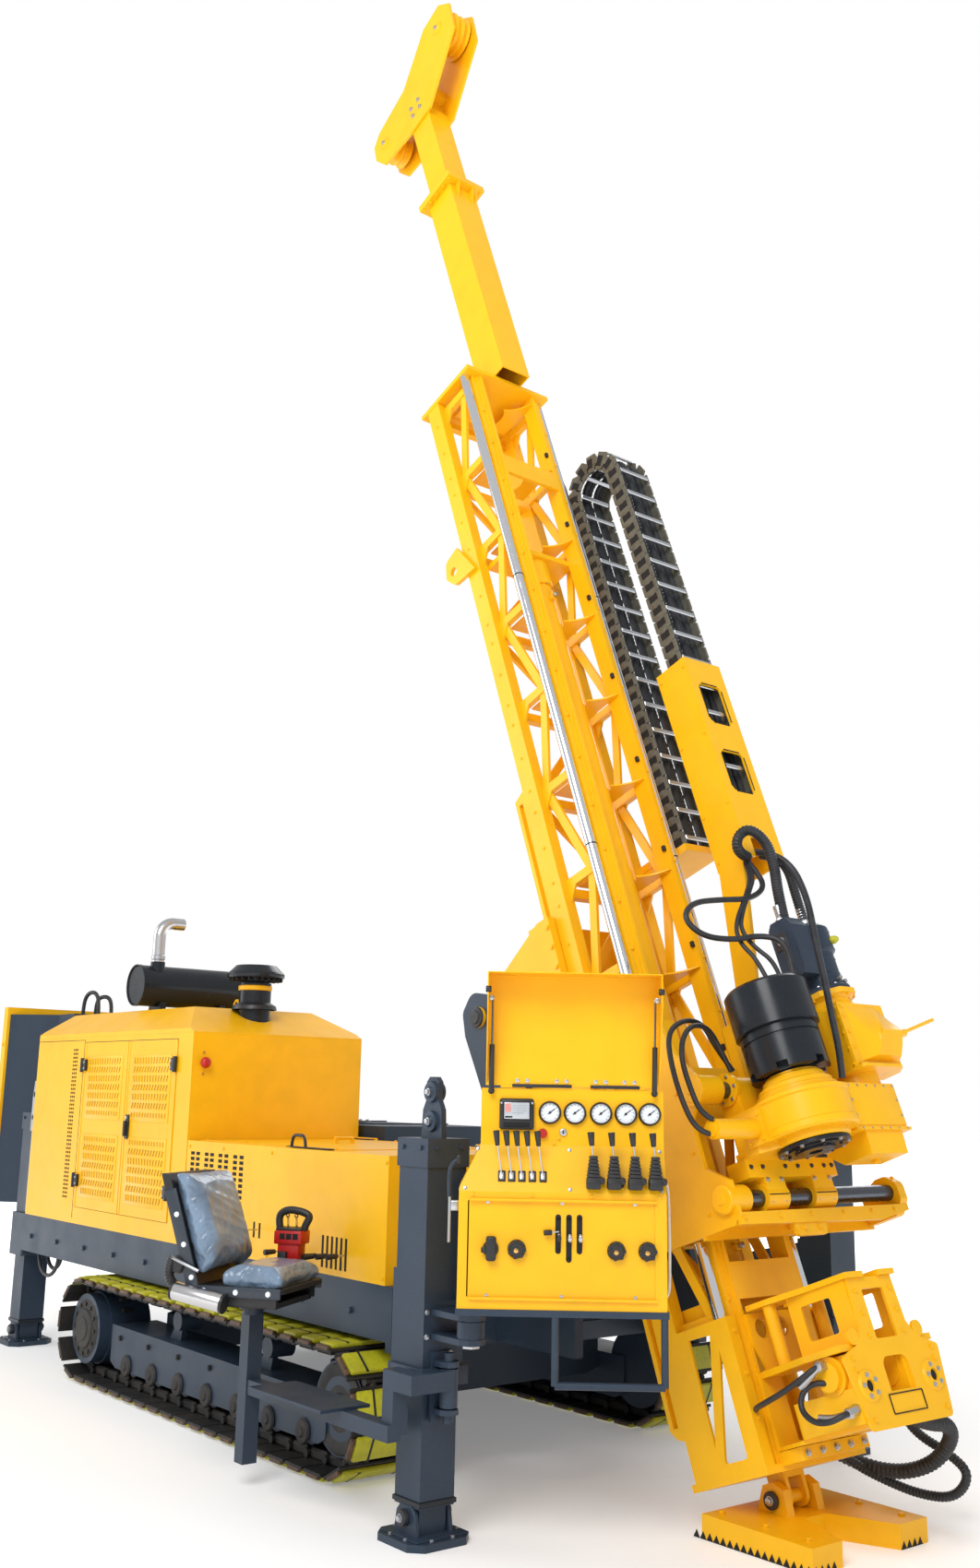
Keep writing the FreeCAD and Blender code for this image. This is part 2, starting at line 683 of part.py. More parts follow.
t = float(d["sheet_t"])
case = cut(box((d["box_x0"], d["box_x1"]), (-d["side_out"], d["hood_y1"]), (d["deck_z"], d["box_top"])),
           [box((d["box_x0"] + t, d["box_x1"] - t), (-d["side_out"] + t, d["hood_y1"] - t),
                (d["deck_z"] - 10, d["box_top"] - t)),
            box((-640, 700), (-930, 60), (1300, 1420))])
node("valve_box", case)
lid = fuse([box((-652, 712), (-942, 72), (1380, 1384)),
            cyl("y", (-20, -480, 1412), 8, 120),
            box((-28, -12), (-480, -464), (1384, 1412)),
            box((-28, -12), (-376, -360), (1384, 1412)),
            cyl("x", (-640, 78, 1388), 8, 200), cyl("x", (500, 78, 1388), 8, 200)])
node("valve_box_lid", lid)

muffler = fuse([
    cyl("y", (-1850, -820, 2290), 128, 710),
    cyl("y", (-1850, -832, 2290), 118, 734),
    box((-1930, -1770), (-700, -660), (2130, 2200)),
    box((-1930, -1770), (-280, -240), (2130, 2200)),
    cyl("z", (-1800, -720, 2380), 45, 60),
])
node("exhaust_muffler", muffler)


def stack_pipe():
    """Stack with its elbow: a straight run, a quarter bend and the outlet."""
    x, y, r, bend = -1800.0, -720.0, 38.0, 90.0
    path = Part.Wire([
        Part.makeLine(V(x, y, 2440), V(x, y, 2600)),
        Part.Arc(V(x, y, 2600), V(x, y + bend * (1 - math.cos(math.pi / 4)), 2600 + bend * math.sin(math.pi / 4)),
                 V(x, y + bend, 2600 + bend)).toShape(),
        Part.makeLine(V(x, y + bend, 2600 + bend), V(x, y + bend + 70, 2600 + bend)),
    ])
    def tube(radius):
        ring = Part.Wire(Part.makeCircle(radius, V(x, y, 2440), V(0, 0, 1)))
        return path.makePipeShell([ring], True, False)
    return tube(r).cut(tube(r - 3))


pipe = doc.addObject("Part::Feature", "Stack")
pipe.Shape = stack_pipe()
node("exhaust_pipe", pipe)

node("air_cleaner", turned([(0, 2000), (95, 2000), (95, 2280), (60, 2290), (60, 2310), (165, 2310),
                                 (165, 2340), (120, 2385), (0, 2395)]), "machine", V(-980, -470, 0))

tank = box((-2900, -520), (190, 1000), (830, 1460))
node("hydraulic_tank", cut(tank, [box((-2894, -526), (196, 994), (836, 1454))]))
drum = turned([(0, -312), (40, -312), (40, -265), (150, -265), (150, -245), (90, -245), (90, 245),
                    (150, 245), (150, 265), (40, 265), (40, 312), (0, 312)])
node("winch_drum", drum, "machine", V(40, 615, 1110), ALONG_Y)


# ---------------------------------------------------------------- mast, drawn upright

RAIL = (500.0, 3500.0)
RAIL_BACK = 455.0
CHORD_Y = (185.0, 245.0)
CHORD_TOP = 6059.0
NODES_AT = [882.0 + float(d["bay"]) * i for i in range(11)]
PLATE_TOP = 875.0


def front_chord():
    """Folded chord on the right side: its outer front corner goes back in two steps."""
    y0, y1 = -CHORD_Y[1], -CHORD_Y[0]
    return pad("XY", [(-90, y1), (-90, y0), (-18, y0), (-18, y0 + 24), (-9, y0 + 24), (-9, y0 + 42), (0, y0 + 42),
                      (0, y1)], d["mast_low"] + 30, CHORD_TOP)


def rear_chord():
    """Box chord on the right side, its slotted slide rail, and the side plate of the mast's foot."""
    out, back = -d["chord_out"], -d["mast_back"]
    low = float(d["mast_low"]) + 30
    tube = cut(box((back, back + 100), (out, out + 62), (low, CHORD_TOP)),
               [box((back + 6, back + 94), (out + 6, out + 56), (low - 5, CHORD_TOP + 5))])
    rail = cut(pad("XZ", [(-RAIL_BACK, RAIL[0] + 35), (-RAIL_BACK + 28, RAIL[0]), (back, RAIL[0] - 15),
                          (back, RAIL[1]), (-RAIL_BACK, RAIL[1] - 30)], out, out + 62),
               [box((-432, -404), (out - 5, out + 22), (RAIL[0] + 40, RAIL[1] - 60))])
    side = pad("XZ", [(back + 40, low), (0, low), (0, PLATE_TOP), (back + 40, PLATE_TOP)], out, out + 12)
    win_rear = pad("XZ", [(-228, 834), (-233, 430), (-106, 828)], out - 20, out + 30)
    win_front = pad("XZ", [(-77, 765), (-205, 370, 12), (-80, 370, 12)], out - 20, out + 30)
    lip = box((-12, 0), (out + 10, -CHORD_Y[1]), (low, PLATE_TOP))
    roof = box((back + 90, 0), (out + 10, -CHORD_Y[1]), (PLATE_TOP - 12, PLATE_TOP))
    return fuse([tube, rail, cut(side, [win_rear, win_front]), lip, roof])


chords = both(front_chord) + both(rear_chord)
node("mast_chords", together(chords), "mast")


def lacing():
    """Rungs, diagonals and their gussets on the right side, between the chords."""
    y0, y1 = -260.0, -225.0
    parts = []
    for s in NODES_AT:
        parts.append(box((-285, -90), (y0, y1), (s - 22, s + 22)))
        parts.append(pad("XZ", [(-285, s - 95), (-225, s - 20), (-285, s - 20)], y0, y0 + 12))
    for i, s in enumerate(NODES_AT[:-1]):
        top = NODES_AT[i + 1] - 20
        lean = (-115, -262) if i % 2 == 0 else (-262, -115)
        parts.append(bar((lean[0], y0 + 15, s + 20), (lean[1], y0 + 15, top), 46, 16))
    return common([fuse(parts), box((-285, -90), (y0, y1), (PLATE_TOP + 2, CHORD_TOP))])


def rear_lacing():
    """Rungs and diagonals across the back."""
    parts = []
    for s in NODES_AT:
        parts.append(box((-385, -350), (-235, 235), (s - 25, s + 25)))
    for i, s in enumerate(NODES_AT[:-1]):
        y = 225 if i % 2 else -225
        parts.append(bar((-368, -y, s + 15), (-368, y, NODES_AT[i + 1] - 15), 44, 18, V(1, 0, 0)))
    return common([fuse(parts), box((-385, -350), (-235, 235), (PLATE_TOP, CHORD_TOP))])


def diaphragm(s):
    """Rib across the mast, its front edge hollowed around the feed cylinder."""
    plate = box((-285, -8), (-CHORD_Y[0], CHORD_Y[0]), (s - 4, s + 4))
    return cut(plate, [cyl("z", (60, 0, s - 10), 185, 20), cyl("z", (-190, 0, s - 10), 88, 20)])


# pin of the mast foot, in the frame of the mast
lean = math.radians(-float(d["mast_lean"]))
fx, fz = 2640.0, 135.0
fn = (fx - 2888) * math.cos(lean) + fz * math.sin(lean)
fs = -(fx - 2888) * math.sin(lean) + fz * math.cos(lean)


def shoe():
    """End plate of the mast and the forked stem that stands on the foot's pin."""
    low = float(d["mast_low"])
    parts = [box((-410, 0), (-d["chord_out"], d["chord_out"]), (low, low + 30)),
             cut(box((fn - 45, fn + 45), (-60, 60), (fs, low)),
                 [box((fn - 25, fn + 50), (-40, 40), (fs - 50, low - 20))]),
             cyl("y", (fn, -60, fs), 45, 120)]
    return cut(fuse(parts), [cyl("y", (fn, -80, fs), 25 + FIT, 160), box((fn - 60, fn + 60), (-40, 40), (fs - 60, fs + 60))])


def chain_shelf():
    """Bracket on the left that the fixed end of the energy chain stands on."""
    return fuse([box((-380, -200), (d["chord_out"], 375), (3060, 3098)),
                 box((-300, -10), (345, 600), (3060, 3098)),
                 pad("XZ", [(-380, 2900), (-200, 3062), (-380, 3062)], 300, 312)])


lug_eye = (-465.0, 4945.0, 26.0)
bracing = both(lacing) + [rear_lacing(), shoe(), chain_shelf()]
bracing += [diaphragm(s) for s in NODES_AT[1:]]
for low, high in ((934, 1080), (5337, 5460)):
    bracing.append(box((-20, 0), (-CHORD_Y[0], CHORD_Y[0]), (low, high)))
for low, high in ((900, 960), (4860, 4890)):
    bracing.append(box((-300, -90), (-222, 222), (low, high)))
bracing.append(box((-440, 20), (-300, 300), (CHORD_TOP, d["mast_top"])))
bracing.append(pad("XZ", [(-400, 5062), (-510, 5035, 40), (-535, 4935, 30), (-480, 4862, 40), (-300, 4850)],
                   -321, -d["chord_out"], [lug_eye]))
node("mast_bracing", together(bracing), "mast")
bars = []
for y in (-272, 272):
    bars.append(cyl("z", (-52, y, 875), 27, 5184))
node("guide_bars", together(bars), "mast")
node("feed_cylinder", fuse([cyl("z", (-190, 0, 960), 72, 3850), cyl("z", (-190, 0, 960), 84, 60),
                            cyl("z", (-190, 0, 4700), 84, 160)]), "mast")

ext = [box((-120, 100), (-100, 100), (6085, 7690)),
       box((-170, 150), (-141, 141), (7678, 7700)), box((-170, 150), (-141, 141), (7700, 7722)),
       box((-95, 85), (-85, 85), (7722, 8480)),
       pad("XZ", [(100, 7560), (140, 7678), (100, 7678)], -60, -48),
       pad("XZ", [(100, 7560), (140, 7678), (100, 7678)], 48, 60),
       pad("XZ", [(-120, 6085), (-300, 6085), (-120, 6260)], -6, 6)]
ext_in = [box((-112, 92), (-92, 92), (6080, 7685)), box((-87, 77), (-77, 77), (7705, 8450))]
node("mast_extension", cut(fuse(ext), ext_in), "mast")

crown_outline = [(-470, 8560), (-400, 8440), (-95, 8400), (120, 8400), (500, 8740), (520, 8960), (430, 9060),
                 (250, 9040), (-60, 8800), (-380, 8740), (-460, 8680)]
cheeks = [pad("XZ", crown_outline, -101, -86), pad("XZ", crown_outline, 86, 101)]
axles = [cyl("y", (365, -112, 8900), 25, 224), cyl("y", (-350, -112, 8600), 25, 224)]
spacers = [box((-60, 60), (-90, 90), (8480, 8600)), box((40, 120), (-90, 90), (8600, 8680))]
node("crown_head", fuse(cheeks + axles + spacers), "mast")


def sheave(r, half, grooves):
    step = 2.0 * half / grooves
    pts = [(25.05, -85.5), (45, -85.5), (45, -half), (r, -half)]
    for i in range(grooves):
        a = -half + i * step
        pts += [(r, a + 4), (r - 22, a + step / 2 - 6), (r - 22, a + step / 2 + 6), (r, a + step - 4)]
    pts += [(r, half), (45, half), (45, 85.5), (25.05, 85.5)]
    clean = []
    for p in pts:
        if not clean or abs(p[0] - clean[-1][0]) + abs(p[1] - clean[-1][1]) > 0.1:
            clean.append(p)
    return turned(clean)


node("crown_sheave_front", sheave(135, 72, 3), "mast", V(365, 0, 8900), ALONG_Y)
node("crown_sheave_rear", sheave(105, 60, 2), "mast", V(-350, 0, 8600), ALONG_Y)

# cradle that the mast slides in, hung on the tilt axis
tilt_n = (float(d["tilt_x"]) - 2888) * math.cos(math.radians(20.8)) + float(d["tilt_z"]) * math.sin(math.radians(20.8))
tilt_s = -(float(d["tilt_x"]) - 2888) * math.sin(math.radians(20.8)) + float(d["tilt_z"]) * math.cos(math.radians(20.8))
lever_n, lever_s = -683.0, 2206.0
cradle = []
for s in (-1, 1):
    ys = (-344, -316) if s < 0 else (316, 344)
    cradle.append(pad("XZ", [(tilt_n - 110, tilt_s - 60), (tilt_n - 60, tilt_s + 110), (tilt_n + 80, tilt_s + 130),
                             (-462, 2800), (-380, 2800), (-380, 1250), (-490, 1250), (-640, 1750),
                             (tilt_n + 40, tilt_s - 120)], ys[0], ys[1]))
    cradle.append(cyl("y", (lever_n, -352 if s < 0 else 316, lever_s), 48, 36))
    hook = (-344, -303) if s < 0 else (303, 344)
    cradle.append(box((-470, -380), hook, (2500, 2800)))
    cradle.append(box((-470, -380), hook, (1250, 1600)))
cradle += [box((-525, -462), (-330, 330), (1260, 1500)), box((-545, -462), (-330, 330), (2400, 2800)),
           box((-525, -465), (-330, 330), (1780, 1860)),
           cyl("y", (tilt_n, -355, tilt_s), 95, 710), cyl("y", (tilt_n, -425, tilt_s), 50, 850)]
node("mast_cradle", fuse(cradle), "mast")


def carriage():
    n, lo, hi = float(d["shaft_n"]), float(d["shaft_lo"]), float(d["shaft_hi"])
    near = [(-190, 1180), (215, 1170), (250, 1200), (250, 1340), (140, 1420), (140, 1620), (190, 1676),
            (230, 1690), (230, 1780), (150, 1900), (60, 2240), (-40, 2240), (-100, 2100), (-190, 1700)]
    far = [(-190, 1180), (100, 1170), (130, 1200), (130, 1640), (190, 1676), (230, 1690), (230, 1780),
           (150, 1900), (60, 2240), (-40, 2240), (-100, 2100), (-190, 1700)]
    parts = [pad("XZ", near, -335, -313), pad("XZ", far, 313, 335),
             cyl("y", (n, -355, lo), 57, 120), cyl("y", (n, -345, hi), 60, 130), cyl("y", (n, -359, hi), 68, 14),
             cyl("y", (n, 313, hi), 55, 42)]
    parts.append(box((8, 30), (-330, 330), (1200, 1400)))
    parts.append(box((8, 30), (-330, 330), (1600, 1900)))
    parts.append(box((8, 60), (-330, -180), (1180, 2100)))
    parts.append(box((8, 60), (180, 330), (1180, 2100)))
    # channel under the lower cross shaft, out to the lug at its far end
    parts.append(box((30, 250), (-335, 765), (1200, 1212)))
    parts.append(pad("YZ", [(-335, 1212), (-335, 1165), (560, 1150), (765, 1185), (765, 1212)], 236.0, 250.0))
    parts.append(box((30, 44), (-335, 765), (1160, 1212)))
    parts.append(pad("XZ", [(60, 1170), (215, 1170, 30), (262, 1230, 30), (262, 1300, 40), (215, 1345, 40),
                            (160, 1345), (60, 1300)], 715, 765))
    parts.append(pad("YZ", [(-15, 1170), (-5, 1108, 15), (175, 1108, 15), (195, 1170)], 225.0, 243.0))
    # foot and spine of the energy chain guide
    parts.append(pad("XZ", [(8, 1900), (60, 1900), (300, 2850), (140, 2850), (8, 2200)], 340, 362))
    parts.append(box((8, 60), (313, 362), (1900, 2200)))
    return cut(fuse(parts), [cyl("y", (n, -400, lo), 35.05, 1200), cyl("y", (n, -400, hi), 35.05, 900)])


node("head_carriage", carriage(), "mast")
node("cross_shafts", together([cyl("y", (202, -350, 1275), 35, 1112), cyl("y", (202, -350, 1731), 35, 700)]),
     "mast")

node("chain_guide", together([box((130, 335), (y, y + 12), (2850, 4000)) for y in (345, 600)]), "mast")
windows = [pad("YZ", [(400, z, 20), (555, z, 20), (555, z + 230, 20), (400, z + 230, 20)], 300, 360)
           for z in (3620, 3220)]
cover = cut(box((323, 335), (357, 600), (2850, 4000)),
            windows + [pad("YZ", [(400, 2840), (555, 2840), (555, 2960, 20), (400, 2960, 20)], 300, 360)])
node("chain_covers", together([cover, box((130, 142), (357, 600), (2850, 4000))]), "mast")


def chain():
    """Energy chain as one band: fixed leg, half loop and moving leg."""
    c, ri, ro = 95.0, 105.0, 220.0
    top, fixed, moving, y = 5330.0, 3098.0, 3100.0, 360.0
    outer = Part.Wire([
        Part.makeLine(V(c - ro, y, fixed), V(c - ro, y, top)),
        Part.Arc(V(c - ro, y, top), V(c, y, top + ro), V(c + ro, y, top)).toShape(),
        Part.makeLine(V(c + ro, y, top), V(c + ro, y, moving)),
        Part.makeLine(V(c + ro, y, moving), V(c + ri, y, moving)),
        Part.makeLine(V(c + ri, y, moving), V(c + ri, y, top)),
        Part.Arc(V(c + ri, y, top), V(c, y, top + ri), V(c - ri, y, top)).toShape(),
        Part.makeLine(V(c - ri, y, top), V(c - ri, y, fixed)),
        Part.makeLine(V(c - ri, y, fixed), V(c - ro, y, fixed)),
    ])
    return Part.Face(outer).extrude(V(0, 236, 0))


band = doc.addObject("Part::Feature", "Band")
band.Shape = chain()
node("energy_chain", band, "mast")

# ---------------------------------------------------------------- drilling head
n0 = float(d["spin_n"])
DRIVE_Y = 420.0


def gearbox():
    """Turned casting round the spindle with its shift box, drive column and shaft sleeves."""
    casting = put(turned([(60.1, 1417), (150, 1417), (160, 1427), (160, 1446), (196, 1446), (206, 1456),
                          (206, 1478), (200, 1484), (200, 1586), (208, 1592), (208, 1606), (172, 1610),
                          (172, 1634, 6), (156, 1640), (156, 1660, 6), (138, 1666), (128, 1692), (112, 1698),
                          (112, 1706), (60.1, 1706)]), n0, 0, 0)
    block = pad("XY", [(205, -205, 30), (n0, -200), (n0, 200), (205, 205)], 1446.0, 1600.0)
    base = pad("XY", [(205, -205), (330, -205), (n0, -120), (n0, 120), (330, 205), (205, 205)], 1418.0, 1450.0)
    case = pad("XY", [(262, 100), (560, 100), (560, 505, 8), (262, 505)], 1447.0, 1640.0)
    ledge = box((255, 568), (150, 515), (1437, 1449))
    sump = pad("XZ", [(330, 1440), (330, 1400), (400, 1342), (550, 1342), (556, 1440)], 215, 460)
    column = put(turned([(0, 1636), (98, 1636), (98, 1700), (126, 1702), (126, 1716), (118, 1718), (118, 2000),
                         (104, 2016), (96, 2030), (96, 2044), (112, 2062), (0, 2062)]), n0, DRIVE_Y, 0)
    corners = [math.radians(22.5 + 45 * i) for i in range(8)]
    seat = pad("XY", [(n0 + 125 * math.cos(a), DRIVE_Y + 125 * math.sin(a)) for a in corners], 2060.0, 2085.0)
    shelf = pad("XY", [(n0, 300), (600, 300, 20), (600, 560), (540, 620), (n0, 620)], 1702.0, 1716.0)
    web = box((n0, 550), (306, 600), (1710, 1992))
    flange = box((548, 564), (298, 612), (1710, 2004))
    rear = [(345, 1738), (600, 1738), (640, 1800), (640, 1930), (560, 1992), (345, 1992)]
    front = [(424, 1755), (582, 1755), (592, 1800), (593, 1856), (453, 1856), (440, 1800)]
    front.insert(0, front.pop())
    rear.insert(0, rear.pop())
    shift_case = loft([[(563, y, s) for y, s in rear], [(600 + (s - 1755) * 0.4, y, s) for y, s in front]])
    lever = [rod((590, 615, 1858), (590, 672, 1868), 19), rod((590, 650, 1864), (590, 930, 1942), 9)]
    shifter = [cyl("y", (350, -465, 1513), 40, 262), cyl("y", (350, -478, 1513), 30, 20),
               box((298, 402), (-219, -200), (1445, 1581))]
    beam = [box((150, 255), (-215, 345), (1345, 1422)), box((150, 262), (-140, 10), (1590, 1740)),
            cyl("y", (202, -150, 1731), 57, 170), cyl("y", (202, -150, 1731), 70, 22)]
    for y, wide in ((-135, 130), (160, 140)):
        beam.append(cyl("y", (202, y, 1275), 57, wide))
        beam.append(box((149, 256), (y + 6, y + wide - 6), (1275, 1350)))
    body = fuse([casting, block, base, case, ledge, sump, column, seat, shelf, web, flange, shift_case]
                + lever + shifter + beam)
    return cut(body, [cyl("y", (202, -400, 1275), 35.05, 1200), cyl("y", (202, -400, 1731), 35.05, 1200),
                      cyl("z", (n0, 0, 1300), 60.1, 900)])


node("head_gearbox", gearbox(), "mast")

motor = put(turned([(0, 2085), (110, 2085), (110, 2106, 5), (94, 2112), (86, 2140), (86, 2268), (99, 2280),
                    (99, 2392, 14), (70, 2418), (0, 2418)]), n0, DRIVE_Y, 0)
port_block = pad("XZ", [(388, 2190), (392, 2165), (505, 2165), (518, 2200), (518, 2395), (495, 2438), (410, 2438),
                        (388, 2410)], 232, 345)
node("head_motor", fuse([motor, port_block]), "mast")

chuck = turned([(30, 1385), (84, 1385), (84, 1393), (122, 1393), (122, 1399), (152, 1399), (152, 1412),
                (60, 1412), (60, 1712), (168, 1712), (168, 1848), (162, 1851), (162, 1857), (168, 1860),
                (168, 1884), (162, 1887), (162, 1893), (180, 1900), (180, 2082), (168, 2095), (104, 2095),
                (98, 2087), (46, 2087), (46, 2095), (30, 2095)])
node("head_spindle", cut(chuck, around(6, lambda: box((118, 190), (-24, 24), (1700, 1738)))), "mast",
     V(n0, 0, 0))

# ---------------------------------------------------------------- foot clamp and mast foot
FACE_N = (488.0, 500.0)
SLOT = 45.0


def clamp_face():
    """House-shaped front plate: a window above, an arch at the rod line."""
    plate = pad("YZ", [(-245, 350, 25), (245, 350, 25), (290, 608, 15), (178, 648, 30), (140, 705), (135, 878),
                       (-135, 878), (-140, 705), (-178, 648, 30), (-290, 608, 15)], FACE_N[0], FACE_N[1])
    arch = pad("YZ", [(-75, 470), (75, 470), (75, 590, 35), (-75, 590, 35)], FACE_N[0] - 20, FACE_N[1] + 20)
    window = pad("YZ", [(-65, 655, 10), (65, 655, 10), (65, 835, 10), (-65, 835, 10)],
                 FACE_N[0] - 20, FACE_N[1] + 20)
    return cut(plate, [arch, window])


def clamp_back():
    """Plate on the face of the mast, with three holes above and a window below."""
    plate = pad("YZ", [(-209, 368), (209, 368), (209, 645), (150, 662), (190, 760), (190, 872), (-190, 872),
                       (-190, 760), (-150, 662), (-209, 645)], 0.0, 14.0,
                [(-120, 812, 38), (0, 812, 38), (120, 812, 38)])
    window = pad("YZ", [(-90, 392, 10), (90, 392, 10), (90, 640, 10), (-90, 640, 10)], -20.0, 40.0)
    return cut(plate, [window])


def clamp_half():
    """Decks and the side panel on the right of the rod line."""
    near = 14.5
    roof = pad("XY", [(near, -185), (near, -SLOT), (FACE_N[1] + 15, -SLOT), (FACE_N[1] + 15, -150),
                      (300, -150), (120, -185)], 878.5, 900.0)
    middle = pad("XY", [(near, -200), (near, -SLOT), (FACE_N[0] - 0.5, -SLOT), (FACE_N[0] - 0.5, -280),
                        (300, -280, 120), (120, -225)], 628.0, 652.0)
    bottom = pad("XY", [(near, -200), (near, -SLOT), (FACE_N[0] - 0.5, -SLOT), (FACE_N[0] - 0.5, -240),
                        (150, -240, 60)], 368.0, 382.0)
    panel = cut(box((190, FACE_N[0] - 0.5), (-140, -128), (652.5, 878.0)),
                [pad("XZ", [(250, 705, 12), (400, 705, 12), (400, 835, 12), (250, 835, 12)], -160, -110)])
    post = cyl("z", (105, -150, 652.5), 26, 225.5)
    return [roof, middle, bottom, panel, post]


halves = clamp_half()
halves += [mirror_y(piece) for piece in halves]
bolt_plate = pad("XY", [(0, -205), (110, -205, 12), (110, 205, 12), (0, 205)], 318.0, 366.0)
node("clamp_frame", together([clamp_face(), clamp_back(), bolt_plate] + halves), "mast")


def jaw():
    """Clamp cylinder on the right with its end cap, and the box under it."""
    return fuse([cyl("y", (400, -268, 560), 68, 216), cyl("y", (400, -290, 560), 52, 30),
                 box((330, FACE_N[0]), (-250, -60), (500, 620)),
                 pad("XY", [(160, -SLOT - 15), (160, -262, 45), (FACE_N[0], -262), (FACE_N[0], -SLOT - 15)],
                     382.0, 505.0)])


node("foot_clamp", together(both(jaw)), "mast")

foot = [
    pad("XY", [(2485, -345), (2640, -345), (3020, -345), (3020, -175), (2760, -60), (2760, 60), (3020, 175),
               (3020, 345), (2640, 345), (2485, 345)], 0.0, 90.0),
    pad("XZ", [(2560, 80), (2720, 80), (2690, 180), (2640, 200), (2590, 180)], -110, -70),
    pad("XZ", [(2560, 80), (2720, 80), (2690, 180), (2640, 200), (2590, 180)], 70, 110),
]
foot.append(cyl("y", (fx, -120, fz), 25, 240))
node("mast_foot", fuse(foot))

# ---------------------------------------------------------------- tilt cylinders
bx, bz = TILT_BASE
ex, ez = 1466.0, 1820.0
length = math.hypot(ex - bx, ez - bz)
ux, uz = (ex - bx) / length, (ez - bz) / length
barrels, rods = [], []
for y in (-180, 180):
    p = lambda k: (bx + ux * k, y, bz + uz * k)
    barrels.append(cut(fuse([rod(p(70), p(720), 62), rod(p(0), p(75), 42), cyl("y", (bx, y - 40, bz), 55, 80)]),
                       [rod(p(90), p(730), 32.05), cyl("y", (bx, y - 60, bz), 30.05, 120)]))
    rods.append(fuse([rod(p(230), p(length - 38), 32), cyl("y", (ex, y - 36, ez), 48, 72),
                      cyl("y", (ex, y - 80, ez), 26, 160)]))
node("tilt_cylinder_barrels", together(barrels))
node("tilt_cylinder_rods", together(rods))


# ---------------------------------------------------------------- console, X towards the operator
def console_form(g):
    """Cabinet g inside its skin: sloped control desk in front, back edge chamfered beside the post."""
    side = pad("XZ", [(-188 + g, 889 + g), (193 - g, 889 + g), (193 - g, 1303), (120 - g, 1469),
                      (101 - g, 1679 - g), (-188 + g, 1679 - g)], -53 + g, 717 - g)
    front = pad("YZ", [(-53 + g, 880), (717 - g, 880), (717 - g, 1700), (24 + g, 1700), (24 + g, 1467),
                       (-53 + g, 1313)], -240.0, 210.0)
    above = pad("XY", [(-188, -20 + g), (-150 + g, -53), (210, -53), (210, 720), (-188, 720)], 880.0, 1700.0)
    return common([side, front, above])


cabinet = cut(console_form(0), [console_form(3), box((187, 202), (-19, 674), (932, 1270))])
panel = [box((181, 206), (-10, 680), (923, 932)), box((181, 206), (-10, 680), (1270, 1279)),
         box((181, 189), (-14, 679), (928, 1274))]
tray = [pad("XY", [(-193, -22), (-155, -58), (198, -58), (198, 724), (-193, 724)], 865.0, 889.0),
        box((-58, 58), (-56, 58), (846, 866)),
        cyl("z", (0, 0, 760), 53, 59), cyl("z", (0, 0, 845), 56, 22), cyl("z", (0, 0, 725), 25, 125)]
step = [rod((183, 308, 875), (183, 308, 629), 13.5), rod((183, 708, 875), (183, 708, 629), 13.5),
        rod((183, 308, 629), (183, 708, 629), 13.5)]
node("console_base", fuse(tray + step), "console")
node("console_cabinet", fuse([cabinet] + panel), "console")
lid_side = [(102, 1698), (102, 2112), (243, 2112), (243, 1987), (140, 1752)]
lid = [box((98, 102), (39, 703), (1690, 2112)), box((98, 243), (39, 703), (2108, 2112)),
       pad("XZ", lid_side, 39, 43), pad("XZ", lid_side, 699, 703),
       cyl("y", (102, 96, 1686), 6, 96), cyl("y", (102, 549, 1686), 6, 96)]
node("console_lid", fuse(lid), "console")


# ---------------------------------------------------------------- seat and its arm
arm = [cyl("z", (2030, -1240, 496), 35, 138), cyl("z", (2030, -1240, 440), 20, 250),
       pad("XY", [(1995, -1240), (2065, -1240), (2065, -1440), (1880, -1440), (1880, -1370), (1995, -1370)], 560, 630),
       box((1880, 1950), (-1440, -1370), (400, 630)),
       box((830, 1950), (-1460, -1400), (380, 440)),
       box((1080, 1640), (-1560, -1330), (440, 452)),
       box((825, 895), (-1465, -1395), (100, 700)),
       cyl("z", (860, -1430, 700), 45, 20), cyl("z", (860, -1430, 720), 26, 90)]
node("seat_arm", fuse(arm))
base = [cyl("z", (0, 0, 722), 60, 40),
        box((-190, 190), (-190, 190), (752, 775)),
        box((-200, 200), (-205, -180), (760, 820)),
        box((-200, 200), (180, 205), (760, 820)),
        box((-185, 230), (-210, 210), (815, 835)),
        box((5, 35), (190, 226), (817, 833)),
        pad("XZ", [(-200, 800), (-170, 830), (-330, 1290), (-370, 1290)], -215, 215)]
node("seat_frame", cut(fuse(base), [cyl("z", (0, 0, 700), 26.05, 110)]), "seat")
node("seat_cushion", box((-80, 240), (-225, 225), (835, 910)), "seat")
node("seat_back_cushion", pad("XZ", [(-174, 845), (-88, 914), (-245, 1310), (-336, 1310)], -220, 220), "seat")
node("travel_control_box", fuse([box((-30, 110), (235, 345), (900, 1000)), box((0, 80), (250, 330), (1000, 1030)),
                                 box((0, 40), (226, 240), (815, 940)),
                                 cyl("z", (20, 290, 1030), 8, 80), cyl("z", (60, 290, 1030), 8, 80)]), "seat")

